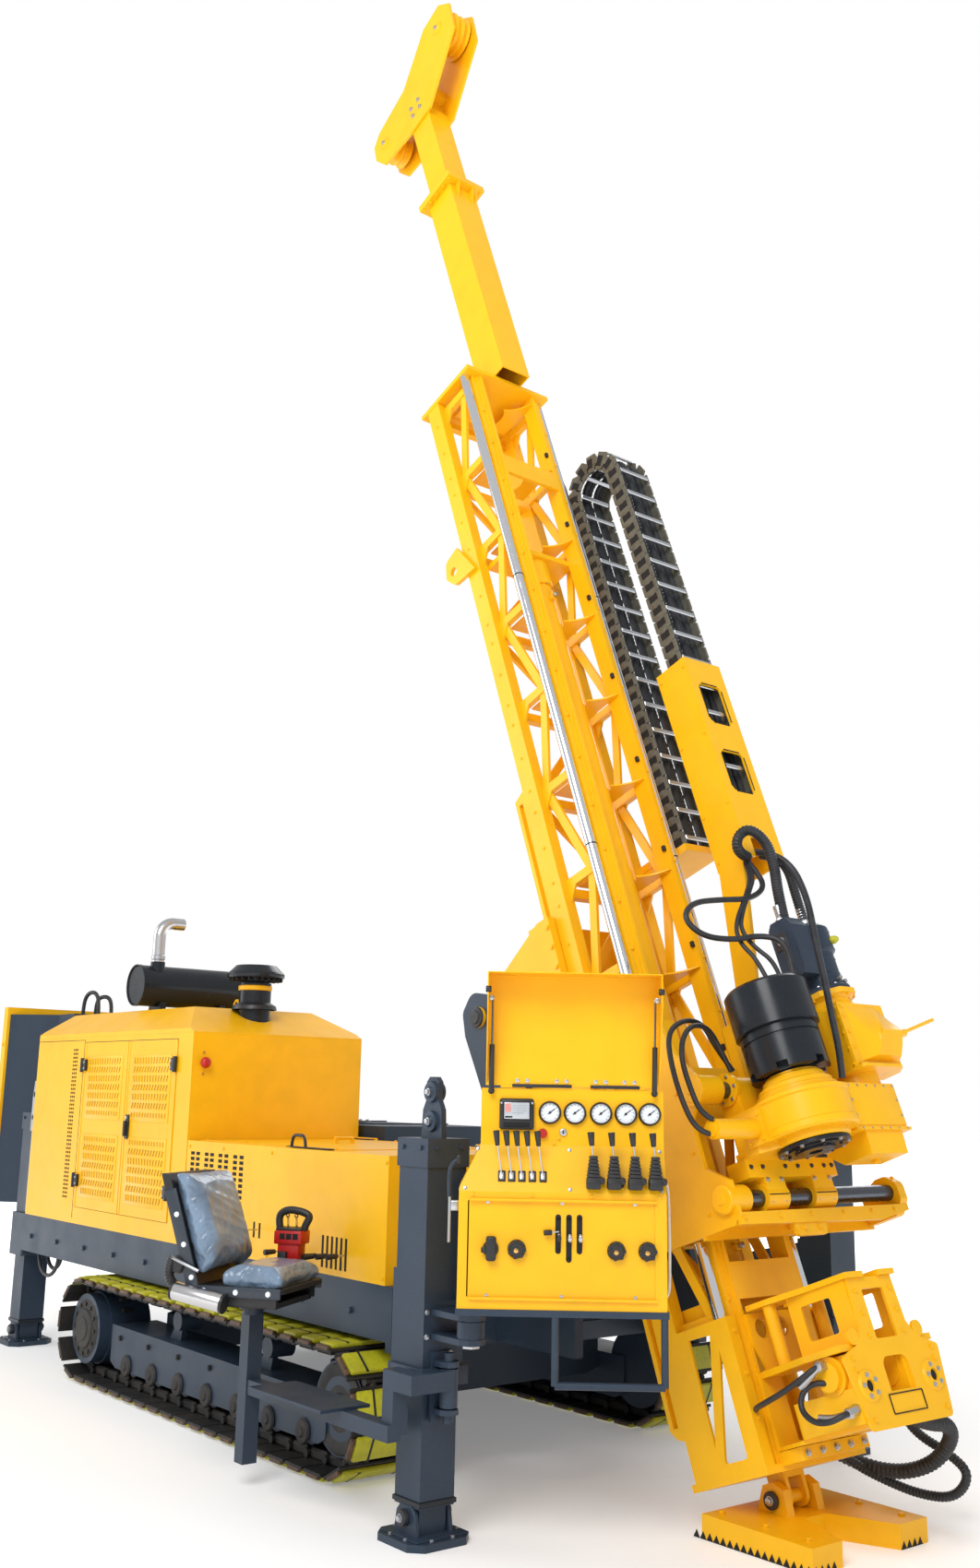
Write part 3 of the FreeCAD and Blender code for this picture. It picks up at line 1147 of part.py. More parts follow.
# ---------------------------------------------------------------- check and write
doc.recompute()
failed = [o for o in doc.Objects if "Invalid" in o.State or "Error" in o.State]
if failed:
    raise RuntimeError("; ".join("%s (%s): %s, used by %s" % (
        o.Name, o.Label, o.getStatusString(), [u.Label for u in o.InList]) for o in failed))
os.makedirs("parts", exist_ok=True)
whole = FreeCAD.BoundBox()
for obj in NODES:
    shape = obj.Shape
    if shape.isNull() or not shape.isValid():
        raise RuntimeError("%s has no valid shape" % obj.Label)
    shape.exportStep("parts/%s.step" % obj.Label)
    whole.add(shape.BoundBox)
    print("%-26s solids %3d  volume %9.4f dm3" % (obj.Label, len(shape.Solids), shape.Volume / 1e6))
print("box X %.1f %.1f  Y %.1f %.1f  Z %.1f %.1f" % (whole.XMin, whole.XMax, whole.YMin, whole.YMax,
                                                     whole.ZMin, whole.ZMax))
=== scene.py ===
"""Finishes and fine pieces of the core drilling rig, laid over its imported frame."""
import json
import math
import bpy
import bmesh
from bpy.props import FloatProperty, FloatVectorProperty, PointerProperty
from mathutils import Matrix, Vector, noise


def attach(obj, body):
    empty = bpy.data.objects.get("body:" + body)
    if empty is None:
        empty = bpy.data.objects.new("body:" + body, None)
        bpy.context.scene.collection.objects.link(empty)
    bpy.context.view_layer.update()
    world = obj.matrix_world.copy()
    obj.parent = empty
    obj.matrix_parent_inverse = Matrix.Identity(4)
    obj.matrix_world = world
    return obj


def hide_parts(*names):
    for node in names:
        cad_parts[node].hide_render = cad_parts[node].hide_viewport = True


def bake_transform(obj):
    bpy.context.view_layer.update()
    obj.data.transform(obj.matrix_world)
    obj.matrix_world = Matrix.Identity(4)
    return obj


bl_info = {
    "name": "Core Drilling Rig",
    "version": (1, 0, 0),
    "blender": (4, 5, 0),
    "location": "View3D > Sidebar > Drilling Rig",
    "description": "Paints a core drilling rig and adds its gauges, hoses, louvres, track shoes and bolts",
    "category": "Object",
}

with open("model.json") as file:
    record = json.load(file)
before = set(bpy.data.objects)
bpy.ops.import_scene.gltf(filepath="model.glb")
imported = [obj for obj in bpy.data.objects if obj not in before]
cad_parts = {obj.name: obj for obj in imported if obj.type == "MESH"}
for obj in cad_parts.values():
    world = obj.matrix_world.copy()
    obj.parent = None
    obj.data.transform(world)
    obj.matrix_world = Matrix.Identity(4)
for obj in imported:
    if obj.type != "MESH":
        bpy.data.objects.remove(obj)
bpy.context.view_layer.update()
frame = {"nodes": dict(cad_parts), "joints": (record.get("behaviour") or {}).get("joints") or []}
JOINT = {j["name"]: j for j in frame["joints"]}


# ---------------------------------------------------------------- the machine's own frames

def basis(origin, x_axis, z_axis):
    """Matrix of a frame with that origin, X and Z."""
    x, z = Vector(x_axis).normalized(), Vector(z_axis).normalized()
    y = z.cross(x)
    turn = Matrix((x, y, z)).transposed()
    return Matrix.Translation(origin) @ turn.to_4x4()


TILT_PIN = Vector(JOINT["mast_tilt"]["pos_m"])
TILT_PIN_AHEAD = 1.12
ROW = Matrix.Identity(4)
# the ground under the mast's tilt pin lies that far ahead of the machine's own zero
MACHINE = Matrix.Translation((TILT_PIN.x - TILT_PIN_AHEAD, TILT_PIN.y, 0))
MAST_UP = Vector(JOINT["head_feed"]["axis"])
MAST_FRONT = Vector((0, 1, 0)).cross(MAST_UP)
SPINDLE = Vector(JOINT["spindle_spin"]["pos_m"])
# the spindle's axis stands that far in front of the mast's own zero, its joint that far above it
SPINDLE_OUT, SPINDLE_UP = 0.445, 1.6
MAST = basis(SPINDLE - SPINDLE_OUT * MAST_FRONT - SPINDLE_UP * MAST_UP, MAST_FRONT, MAST_UP)


def upright(joint, degrees):
    """Frame on the ground under a joint, turned about Z."""
    post = Vector(JOINT[joint]["pos_m"])
    return Matrix.Translation((post.x, post.y, 0)) @ Matrix.Rotation(math.radians(degrees), 4, "Z")


CONSOLE = upright("console_swing", -38.5)
SEAT = upright("seat_swivel", 35)


# ---------------------------------------------------------------- settings a user would change

def paint_setting(label, use, colour):
    """Colour a user can change."""
    return FloatVectorProperty(name=label, description=use, subtype="COLOR", size=3, min=0, max=1,
                               default=colour)


def size_setting(label, use, least, usual, most):
    """Length a user can change, in metres."""
    return FloatProperty(name=label, description=use, unit="LENGTH", min=least, default=usual, max=most)


class RigPaints(bpy.types.PropertyGroup):
    """Colours of the rig."""

    yellow: paint_setting("Yellow", "Enamel of mast, hood and console", (0.92, 0.48, 0.004))
    slate: paint_setting("Slate", "Enamel of frame, jacks and seat arm", (0.024, 0.041, 0.068))
    lime: paint_setting("Lime", "Rubber pads on the track shoes", (0.52, 0.50, 0.015))
    vinyl: paint_setting("Seat cover", "Cover of the seat's cushions", (0.13, 0.19, 0.27))


class RigSizes(bpy.types.PropertyGroup):
    """Sizes of the fine pieces."""

    bolt: size_setting("Bolt", "Width across the flats of a cover bolt", 0.006, 0.018, 0.05)
    round_edge: size_setting("Edge", "Rounding of plate edges", 0.0005, 0.003, 0.01)


def paints():
    return bpy.context.scene.rig_paints


def sizes():
    return bpy.context.scene.rig_sizes


# ---------------------------------------------------------------- materials

class Finish:
    """A procedural material: a shader fed by noise in the piece's own coordinates."""

    def __init__(self, name, colour, roughness, metallic=0.0):
        self.material = bpy.data.materials.new(name)
        self.material.use_nodes = True
        self.nodes = self.material.node_tree.nodes
        self.links = self.material.node_tree.links
        self.shader = self.nodes["Principled BSDF"]
        self.shader.inputs["Base Color"].default_value = (*colour, 1)
        self.shader.inputs["Roughness"].default_value = roughness
        self.shader.inputs["Metallic"].default_value = metallic
        self.colour = colour
        self.place = self.nodes.new("ShaderNodeTexCoord").outputs["Object"]

    def set(self, socket, value):
        self.shader.inputs[socket].default_value = value

    def coat(self, weight, roughness):
        self.set("Coat Weight", weight)
        self.set("Coat Roughness", roughness)

    def noise(self, scale, detail=3.0, stretch=None):
        """Noise of that scale, stretched along the axes if stretch is given."""
        source = self.place
        if stretch:
            mapping = self.nodes.new("ShaderNodeMapping")
            mapping.inputs["Scale"].default_value = stretch
            self.links.new(source, mapping.inputs["Vector"])
            source = mapping.outputs["Vector"]
        n = self.nodes.new("ShaderNodeTexNoise")
        n.inputs["Scale"].default_value = scale
        n.inputs["Detail"].default_value = detail
        self.links.new(source, n.inputs["Vector"])
        return n.outputs["Fac"]

    def ramp(self, source, low, high, start=0.0, end=1.0):
        """source's start..end mapped to low..high."""
        m = self.nodes.new("ShaderNodeMapRange")
        m.inputs["From Min"].default_value = start
        m.inputs["From Max"].default_value = end
        m.inputs["To Min"].default_value = low
        m.inputs["To Max"].default_value = high
        self.links.new(source, m.inputs["Value"])
        return m.outputs["Result"]

    def shade(self, source, other, low=0.0, high=1.0, start=0.35, end=0.65):
        """Blend the colour towards other where source is high."""
        mix = self.nodes.new("ShaderNodeMix")
        mix.data_type = "RGBA"
        before = self.shader.inputs["Base Color"]
        if before.links:
            self.links.new(before.links[0].from_socket, mix.inputs["A"])
        else:
            mix.inputs["A"].default_value = (*self.colour, 1)
        mix.inputs["B"].default_value = (*other, 1)
        self.links.new(self.ramp(source, low, high, start, end), mix.inputs["Factor"])
        self.links.new(mix.outputs["Result"], before)
        return self

    def rough(self, source, low, high):
        self.links.new(self.ramp(source, low, high, 0.3, 0.7), self.shader.inputs["Roughness"])
        return self

    def bump(self, source, height, strength=0.5):
        b = self.nodes.new("ShaderNodeBump")
        b.inputs["Distance"].default_value = height
        b.inputs["Strength"].default_value = strength
        self.links.new(source, b.inputs["Height"])
        before = self.shader.inputs["Normal"]
        if before.links:
            self.links.new(before.links[0].from_socket, b.inputs["Normal"])
        self.links.new(b.outputs["Normal"], before)
        return self

    def fade(self, near, far, least):
        """White light of its own from near to far metres away from the middle."""
        nodes, links = self.nodes, self.links
        reach = nodes.new("ShaderNodeVectorMath")
        reach.operation = "LENGTH"
        links.new(self.place, reach.inputs[0])
        span = nodes.new("ShaderNodeMapRange")
        span.inputs["From Min"].default_value = near
        span.inputs["From Max"].default_value = far
        span.inputs["To Min"].default_value = least
        links.new(reach.outputs["Value"], span.inputs["Value"])
        self.shader.inputs["Emission Color"].default_value = (1, 1, 1, 1)
        links.new(span.outputs["Result"], self.shader.inputs["Emission Strength"])
        return self


def tint(colour, factor):
    return tuple(min(1.0, c * factor) for c in colour)


def enamel(name, colour, roughness, dust):
    """Sprayed enamel: a little uneven in tone and gloss, with orange peel and a breath of dust."""
    f = Finish(name, colour, roughness)
    f.shade(f.noise(1.7), tint(colour, 0.90), 0, 0.8)
    f.shade(f.noise(9.0, 4.0), tint(colour, 1.07), 0, 0.5)
    f.shade(f.noise(140.0, 2.0), dust, 0, 0.06)
    f.rough(f.noise(5.0), roughness - 0.05, roughness + 0.08)
    f.bump(f.noise(420.0, 1.0), 0.0004, 0.25)
    f.set("Specular IOR Level", 0.28)
    f.coat(0.05, 0.15)
    return f.material


# enamels: material name, colour, roughness, dust in its pores
ENAMELS = {
    "yellow": ("yellow_enamel", lambda: tuple(paints().yellow), 0.34, (0.60, 0.36, 0.05)),
    "slate": ("slate_enamel", lambda: tuple(paints().slate), 0.40, (0.12, 0.12, 0.12)),
    "black": ("black_enamel", lambda: (0.012, 0.016, 0.022), 0.22, (0.06, 0.06, 0.06)),
}
# other looks: material name, colour, roughness, metal, and steps of a method, its noise and its values
PLAIN = {
    "casting": ("dark_casting", (0.035, 0.037, 0.042), 0.55, 0.3, (
        ("shade", (14.0,), ((0.07, 0.07, 0.075), 0, 0.7)), ("bump", (260.0, 2.0), (0.0012, 0.4)))),
    "track": ("track_steel", (0.018, 0.018, 0.020), 0.58, 0.4, (
        ("shade", (6.0, 5.0), ((0.060, 0.052, 0.042), 0, 0.6)),
        ("shade", (60.0, 3.0), ((0.09, 0.085, 0.08), 0, 0.25, 0.5, 0.8)),
        ("bump", (90.0, 4.0), (0.002, 0.4)))),
    "chrome": ("chrome_bar", (0.80, 0.82, 0.86), 0.09, 1.0, (
        ("rough", (30.0, 2.0), (0.07, 0.15)), ("bump", (900.0, 1.0, (1, 1, 0.02)), (0.0002, 0.2)))),
    "dark_bar": ("dark_steel_bar", (0.10, 0.11, 0.13), 0.22, 0.9, (("rough", (25.0, 2.0), (0.18, 0.34)),)),
    "stainless": ("stainless_sheet", (0.62, 0.62, 0.63), 0.27, 1.0, (
        ("bump", (300.0, 2.0, (1, 1, 0.05)), (0.0003, 0.3)),)),
    "zinc": ("zinc_plate", (0.55, 0.57, 0.60), 0.32, 0.95,
             (("shade", (220.0,), ((0.42, 0.43, 0.46), 0, 0.6)),)),
    "plastic": ("black_plastic", (0.016, 0.016, 0.018), 0.42, 0, (
        ("bump", (700.0, 2.0), (0.0004, 0.3)), ("rough", (40.0,), (0.36, 0.50)))),
    "hose": ("hose_rubber", (0.014, 0.016, 0.020), 0.46, 0, (
        ("shade", (18.0,), ((0.035, 0.037, 0.043), 0, 0.6)), ("bump", (500.0, 2.0), (0.0005, 0.35)))),
    "lime": ("lime_rubber", "lime", 0.5, 0, (
        ("shade", (10.0, 4.0), (0.72, 0, 0.8)),
        ("shade", (55.0, 4.0), ((0.10, 0.09, 0.04), 0, 0.35, 0.5, 0.8)),
        ("bump", (120.0, 3.0), (0.0015, 0.35)))),
    "cover": ("seat_cover", "vinyl", 0.34, 0, (
        ("shade", (7.0, 4.0), (1.9, 0, 0.6)), ("bump", (28.0, 3.0), (0.004, 0.35)),
        ("bump", (350.0, 2.0), (0.0005, 0.3)), ("coat", None, (0.5, 0.15)))),
    "red": ("red_plastic", (0.50, 0.012, 0.010), 0.35, 0, (("bump", (500.0,), (0.0004, 0.3)),)),
    "brass": ("brass", (0.72, 0.42, 0.13), 0.28, 1.0, (("shade", (80.0,), ((0.50, 0.28, 0.08), 0, 0.6)),)),
    "dial": ("dial_face", (0.80, 0.84, 0.88), 0.35, 0, (
        ("shade", (30.0,), ((0.70, 0.75, 0.80), 0, 0.4)), ("coat", None, (0.8, 0.04)))),
    "screen": ("screen_glass", (0.42, 0.46, 0.50), 0.16, 0, (
        ("shade", (12.0,), ((0.60, 0.62, 0.66), 0, 0.6)), ("coat", None, (0.8, 0.05)))),
    # near black: painted shade inside holes, slots and louvre openings, and also dark joints and printed
    # marks
    "gap": ("hole_shade_and_black_lines", (0.006, 0.006, 0.007), 0.8, 0, (("bump", (60.0,), (0.001, 0.2)),)),
    "rose": ("rose_print", (0.62, 0.22, 0.20), 0.3, 0, (("shade", (90.0,), ((0.75, 0.42, 0.38), 0, 0.6)),)),
    "cream": ("cream_sleeve", (0.62, 0.62, 0.58), 0.45, 0,
              (("shade", (60.0,), ((0.45, 0.45, 0.42), 0, 0.5)),)),
    "shell": ("grey_moulding", (0.36, 0.38, 0.40), 0.45, 0, (("bump", (400.0, 2.0), (0.0004, 0.3)),)),
    "navy": ("navy_moulding", (0.030, 0.040, 0.055), 0.38, 0, (("bump", (500.0, 2.0), (0.0004, 0.3)),)),
    "khaki": ("khaki_plastic", (0.085, 0.080, 0.058), 0.5, 0, (
        ("shade", (24.0, 3.0), ((0.14, 0.135, 0.11), 0, 0.6)), ("bump", (300.0,), (0.0006, 0.3)))),
    "ends": ("shoe_bar_ends", (0.16, 0.085, 0.045), 0.55, 0.2, (
        ("shade", (40.0, 4.0), ((0.05, 0.035, 0.025), 0, 0.8)), ("bump", (160.0,), (0.001, 0.4)))),
}
# the frame's material slot that goes with each look, where it has one
SLOTS = {"yellow": "yellow_paint", "slate": "slate_paint", "black": "black_paint", "stainless": "stainless",
         "casting": "cast_block", "cover": "seat_vinyl", "red": "red_plastic"}
SLOTS.update(dict.fromkeys(("chrome", "dark_bar", "zinc"), "chrome_bar"))
SLOTS.update(dict.fromkeys(("track", "hose", "lime"), "track_rubber"))
SLOTS.update(dict.fromkeys(("plastic", "khaki", "shell", "navy", "cream"), "chain_plastic"))


def plain(name, colour, roughness, metallic, steps):
    """A look of the PLAIN table.  A colour given by name is a setting, and a bare shade is a tint of it."""
    if isinstance(colour, str):
        colour = tuple(getattr(paints(), colour))
    f = Finish(name, colour, roughness, metallic)
    for method, grain, values in steps:
        if method == "coat":
            f.coat(*values)
            continue
        if isinstance(values[0], float) and method == "shade":
            values = (tint(colour, values[0]), *values[1:])
        getattr(f, method)(f.noise(*grain), *values)
    return f.material


MADE = {}


def finish(look):
    """The material of that look, made once."""
    if look not in MADE:
        if look in ENAMELS:
            name, colour, roughness, dust = ENAMELS[look]
            MADE[look] = enamel(name, colour(), roughness, dust)
        else:
            MADE[look] = plain(*PLAIN[look])
    return MADE[look]


# ---------------------------------------------------------------- forms

CREASE = 32.0


def turn(axis, degrees):
    return Matrix.Rotation(math.radians(degrees), 4, axis)


def shift(x, y, z):
    return Matrix.Translation((x, y, z))


def circle(count, radius, start=0.0):
    """Points (u, v) spaced evenly round a circle, the first one start steps on."""
    for i in range(count):
        a = math.tau * (i + start) / count
        yield radius * math.cos(a), radius * math.sin(a)


def smooth_by_angle(bm, degrees=CREASE):
    """Smooth faces, with edges sharper than that kept crisp."""
    limit = math.radians(degrees)
    for face in bm.faces:
        face.smooth = True
    for edge in bm.edges:
        if len(edge.link_faces) == 2:
            edge.smooth = edge.calc_face_angle(0.0) < limit
        else:
            edge.smooth = False


# outlines of turned caps and rings: radius, height
PIN_CAP = [(0, 0.022), (0.020, 0.022), (0.024, 0.016), (0.040, 0.014), (0.043, 0.0)]
STUD_CAP = [(0, 0.006), (0.010, 0.006), (0.012, 0.003), (0.012, 0)]


class Piece:
    """A mesh in the making.  Forms are added in one of the machine's frames, each in a named finish."""

    def __init__(self, name, where=ROW):
        self.name = name
        self.where = where
        self.bm = bmesh.new()
        self.finishes = []

    def slot_of(self, look):
        if look not in self.finishes:
            self.finishes.append(look)
        return self.finishes.index(look)

    def take(self, part, look, place=None):
        """Joins the small bmesh part, and frees it."""
        index = self.slot_of(look)
        for face in part.faces:
            face.material_index = index
        if place is not None:
            bmesh.ops.transform(part, matrix=place, verts=part.verts)
        mesh = bpy.data.meshes.new("part")
        part.to_mesh(mesh)
        part.free()
        self.bm.from_mesh(mesh)
        bpy.data.meshes.remove(mesh)
        return self

    def copies(self, unit, places):
        """Joins a copy of another piece at each matrix of places."""
        mesh = bpy.data.meshes.new("unit")
        unit.bm.to_mesh(mesh)
        remap = [self.slot_of(look) for look in unit.finishes]
        for poly in mesh.polygons:
            poly.material_index = remap[poly.material_index]
        for place in places:
            copy = mesh.copy()
            copy.transform(place)
            self.bm.from_mesh(copy)
            bpy.data.meshes.remove(copy)
        bpy.data.meshes.remove(mesh)
        return self

    def block(self, low, high, look, edge=None, place=None, segments=2):
        """Box between two corners with rounded edges."""
        part = bmesh.new()
        bmesh.ops.create_cube(part, size=1.0)
        span = Vector(high) - Vector(low)
        bmesh.ops.scale(part, vec=span, verts=part.verts)
        bmesh.ops.translate(part, vec=(Vector(low) + Vector(high)) / 2, verts=part.verts)
        edge = sizes().round_edge if edge is None else edge
        if edge > 0:
            bmesh.ops.bevel(part, geom=list(part.edges), offset=min(edge, min(span) * 0.4),
                            segments=segments, profile=0.5, affect="EDGES", material=-1)
        return self.take(part, look, place)

    def drum(self, start, end, radius, look, sides=32, edge=None, top=None, place=None):
        """Round bar from start to end, tapered if top is given, with rounded rims."""
        start, end = Vector(start), Vector(end)
        part = bmesh.new()
        run = end - start
        bmesh.ops.create_cone(part, cap_ends=True, segments=sides, radius1=radius,
                              radius2=radius if top is None else top, depth=run.length)
        edge = sizes().round_edge if edge is None else edge
        rims = [e for e in part.edges if len([f for f in e.link_faces if len(f.verts) > 4]) == 1]
        if edge > 0 and sides > 4:
            offset = min(edge, radius * 0.3, run.length * 0.3)
            bmesh.ops.bevel(part, geom=rims, offset=offset, segments=2, profile=0.5, affect="EDGES",
                            material=-1)
        turn = Vector((0, 0, 1)).rotation_difference(run).to_matrix().to_4x4()
        bmesh.ops.transform(part, matrix=Matrix.Translation((start + end) / 2) @ turn, verts=part.verts)
        return self.take(part, look, place)

    def lathe(self, profile, look, place, sides=40):
        """Outline (radius, height) spun about Z of place."""
        part = bmesh.new()
        ring = [part.verts.new((r, 0, h)) for r, h in profile]
        edges = [part.edges.new(pair) for pair in zip(ring, ring[1:])]
        bmesh.ops.spin(part, geom=ring + edges, cent=(0, 0, 0), axis=(0, 0, 1), angle=math.tau, steps=sides,
                       use_merge=True)
        bmesh.ops.remove_doubles(part, verts=part.verts, dist=1e-5)
        bmesh.ops.recalc_face_normals(part, faces=part.faces)
        return self.take(part, look, place)

    def plate(self, outline, low, high, look, edge=None, place=None):
        """Outline in XY thickened from low to high along Z, with rounded edges."""
        part = bmesh.new()
        face = part.faces.new([part.verts.new((x, y, low)) for x, y in outline])
        made = bmesh.ops.extrude_face_region(part, geom=[face])
        up = [v for v in made["geom"] if isinstance(v, bmesh.types.BMVert)]
        bmesh.ops.translate(part, vec=(0, 0, high - low), verts=up)
        bmesh.ops.recalc_face_normals(part, faces=part.faces)
        edge = sizes().round_edge if edge is None else edge
        if edge > 0:
            bmesh.ops.bevel(part, geom=list(part.edges), offset=min(edge, (high - low) * 0.4), segments=1,
                            profile=0.5, affect="EDGES", material=-1)
        return self.take(part, look, place)

    def ball(self, centre, radius, look, squash=(1, 1, 1), place=None):
        part = bmesh.new()
        bmesh.ops.create_icosphere(part, subdivisions=3, radius=radius)
        bmesh.ops.scale(part, vec=squash, verts=part.verts)
        bmesh.ops.translate(part, vec=centre, verts=part.verts)
        return self.take(part, look, place)

    def bolt(self, at, normal, look="zinc", across=None, washer=True):
        """Hexagon head on its washer, standing on the surface at that point."""
        across = sizes().bolt if across is None else across
        at, normal = Vector(at), Vector(normal).normalized()
        if washer:
            self.drum(at, at + normal * across * 0.12, across * 0.72, look, 16, across * 0.03)
        head = across * 0.12 if washer else 0.0
        return self.drum(at + normal * head, at + normal * (head + across * 0.42), across * 0.56, look, 6,
                         across * 0.06)

    def bolts(self, spots, normal, look, across, washer=True):
        """A bolt at each of the spots."""
        for at in spots:
            self.bolt(at, normal, look, across, washer)

    def tube(self, points, radius, look, sides=12, rib=None):
        """Tube along a smooth line near the points, ribbed at that pitch if rib is given."""
        curve = bpy.data.curves.new("line", "CURVE")
        curve.dimensions = "3D"
        spline = curve.splines.new("NURBS")
        spline.points.add(len(points) - 1)
        for point, co in zip(spline.points, points):
            point.co = (*co, 1)
        spline.order_u = 3
        spline.use_endpoint_u = True
        spline.resolution_u = 10
        holder = bpy.data.objects.new("line", curve)
        line = bpy.data.meshes.new_from_object(holder)
        path = [v.co.copy() for v in line.vertices]
        bpy.data.objects.remove(holder)
        bpy.data.curves.remove(curve)
        bpy.data.meshes.remove(line)
        part = bmesh.new()
        if rib:
            path = resample(path, rib / 2)
        self.path = path
        rings = []
        normal = None
        for i, co in enumerate(path):
            ahead = path[min(i + 1, len(path) - 1)] - path[max(i - 1, 0)]
            ahead.normalize()
            if normal is None:
                normal = ahead.orthogonal().normalized()
            normal = (normal - ahead * normal.dot(ahead)).normalized()
            other = ahead.cross(normal)
            r = radius * (0.86 if rib and i % 2 else 1.0)
            ring = bmesh.ops.create_circle(part, cap_ends=i in (0, len(path) - 1), segments=sides, radius=r)
            matrix = Matrix((normal, other, ahead)).transposed().to_4x4()
            bmesh.ops.transform(part, matrix=Matrix.Translation(co) @ matrix, verts=ring["verts"])
            rings.append(edges_among(ring["verts"]))
        for a, b in zip(rings, rings[1:]):
            bmesh.ops.bridge_loops(part, edges=a + b)
        bmesh.ops.recalc_face_normals(part, faces=part.faces)
        return self.take(part, look)

    def done(self, body, replaced=(), slot=None):
        """The finished object, on that body."""
        smooth_by_angle(self.bm)
        bmesh.ops.transform(self.bm, matrix=self.where, verts=self.bm.verts)
        mesh = bpy.data.meshes.new(self.name)
        self.bm.to_mesh(mesh)
        self.bm.free()
        for look in self.finishes:
            mesh.materials.append(finish(look))
        thing = bpy.data.objects.new(self.name, mesh)
        bpy.context.scene.collection.objects.link(thing)
        if body:
            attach(thing, body)
        if replaced:
            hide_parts(*replaced)
        slot = slot or SLOTS.get(self.finishes[0])
        return thing


def edges_among(verts):
    chosen = set(verts)
    return [e for e in {e for v in verts for e in v.link_edges} if set(e.verts) <= chosen]


def resample(path, step):
    """Points every step along the line."""
    out = [path[0].copy()]
    left = step
    for a, b in zip(path, path[1:]):
        run = (b - a).length
        done = 0.0
        while run - done >= left:
            done += left
            out.append(a.lerp(b, done / run))
            left = step
        left -= run - done
    return out


# ---------------------------------------------------------------- operators

class RigOperator(bpy.types.Operator):
    """Common ground of the rig's operators."""

    bl_options = {"REGISTER", "UNDO"}


# the looks of the frame's nodes; those not named are yellow
NODE_LOOKS = {
    "slate": ("track_frames", "side_beams", "deck_plate", "cross_beams", "track_carriers", "mast_brackets",
              "winch_frame", "jack_towers", "radiator_unit", "jack_leg_front_right", "jack_leg_front_left",
              "jack_leg_rear_right", "jack_leg_rear_left", "hydraulic_tank", "console_base", "seat_arm",
              "winch_drum", "head_motor"),
    "track": ("track_right", "track_left"),
    "casting": ("engine_block",),
    "black": ("exhaust_muffler", "air_cleaner", "head_spindle"),
    "stainless": ("exhaust_pipe",),
    "chrome": ("guide_bars", "tilt_cylinder_rods"),
    "dark_bar": ("cross_shafts",),
    "plastic": ("energy_chain", "seat_frame"),
    "cover": ("seat_cushion", "seat_back_cushion"),
    "red": ("travel_control_box",),
}


class RIG_OT_paint_nodes(RigOperator):
    """Gives every carried-over node its finish"""

    bl_idname = "rig.paint_nodes"
    bl_label = "Paint the frame"

    def execute(self, context):
        looks = {name: look for look, names in NODE_LOOKS.items() for name in names}
        for name, node in frame["nodes"].items():
            node.data.materials.clear()
            node.data.materials.append(finish(looks.get(name, "yellow")))
        return {"FINISHED"}


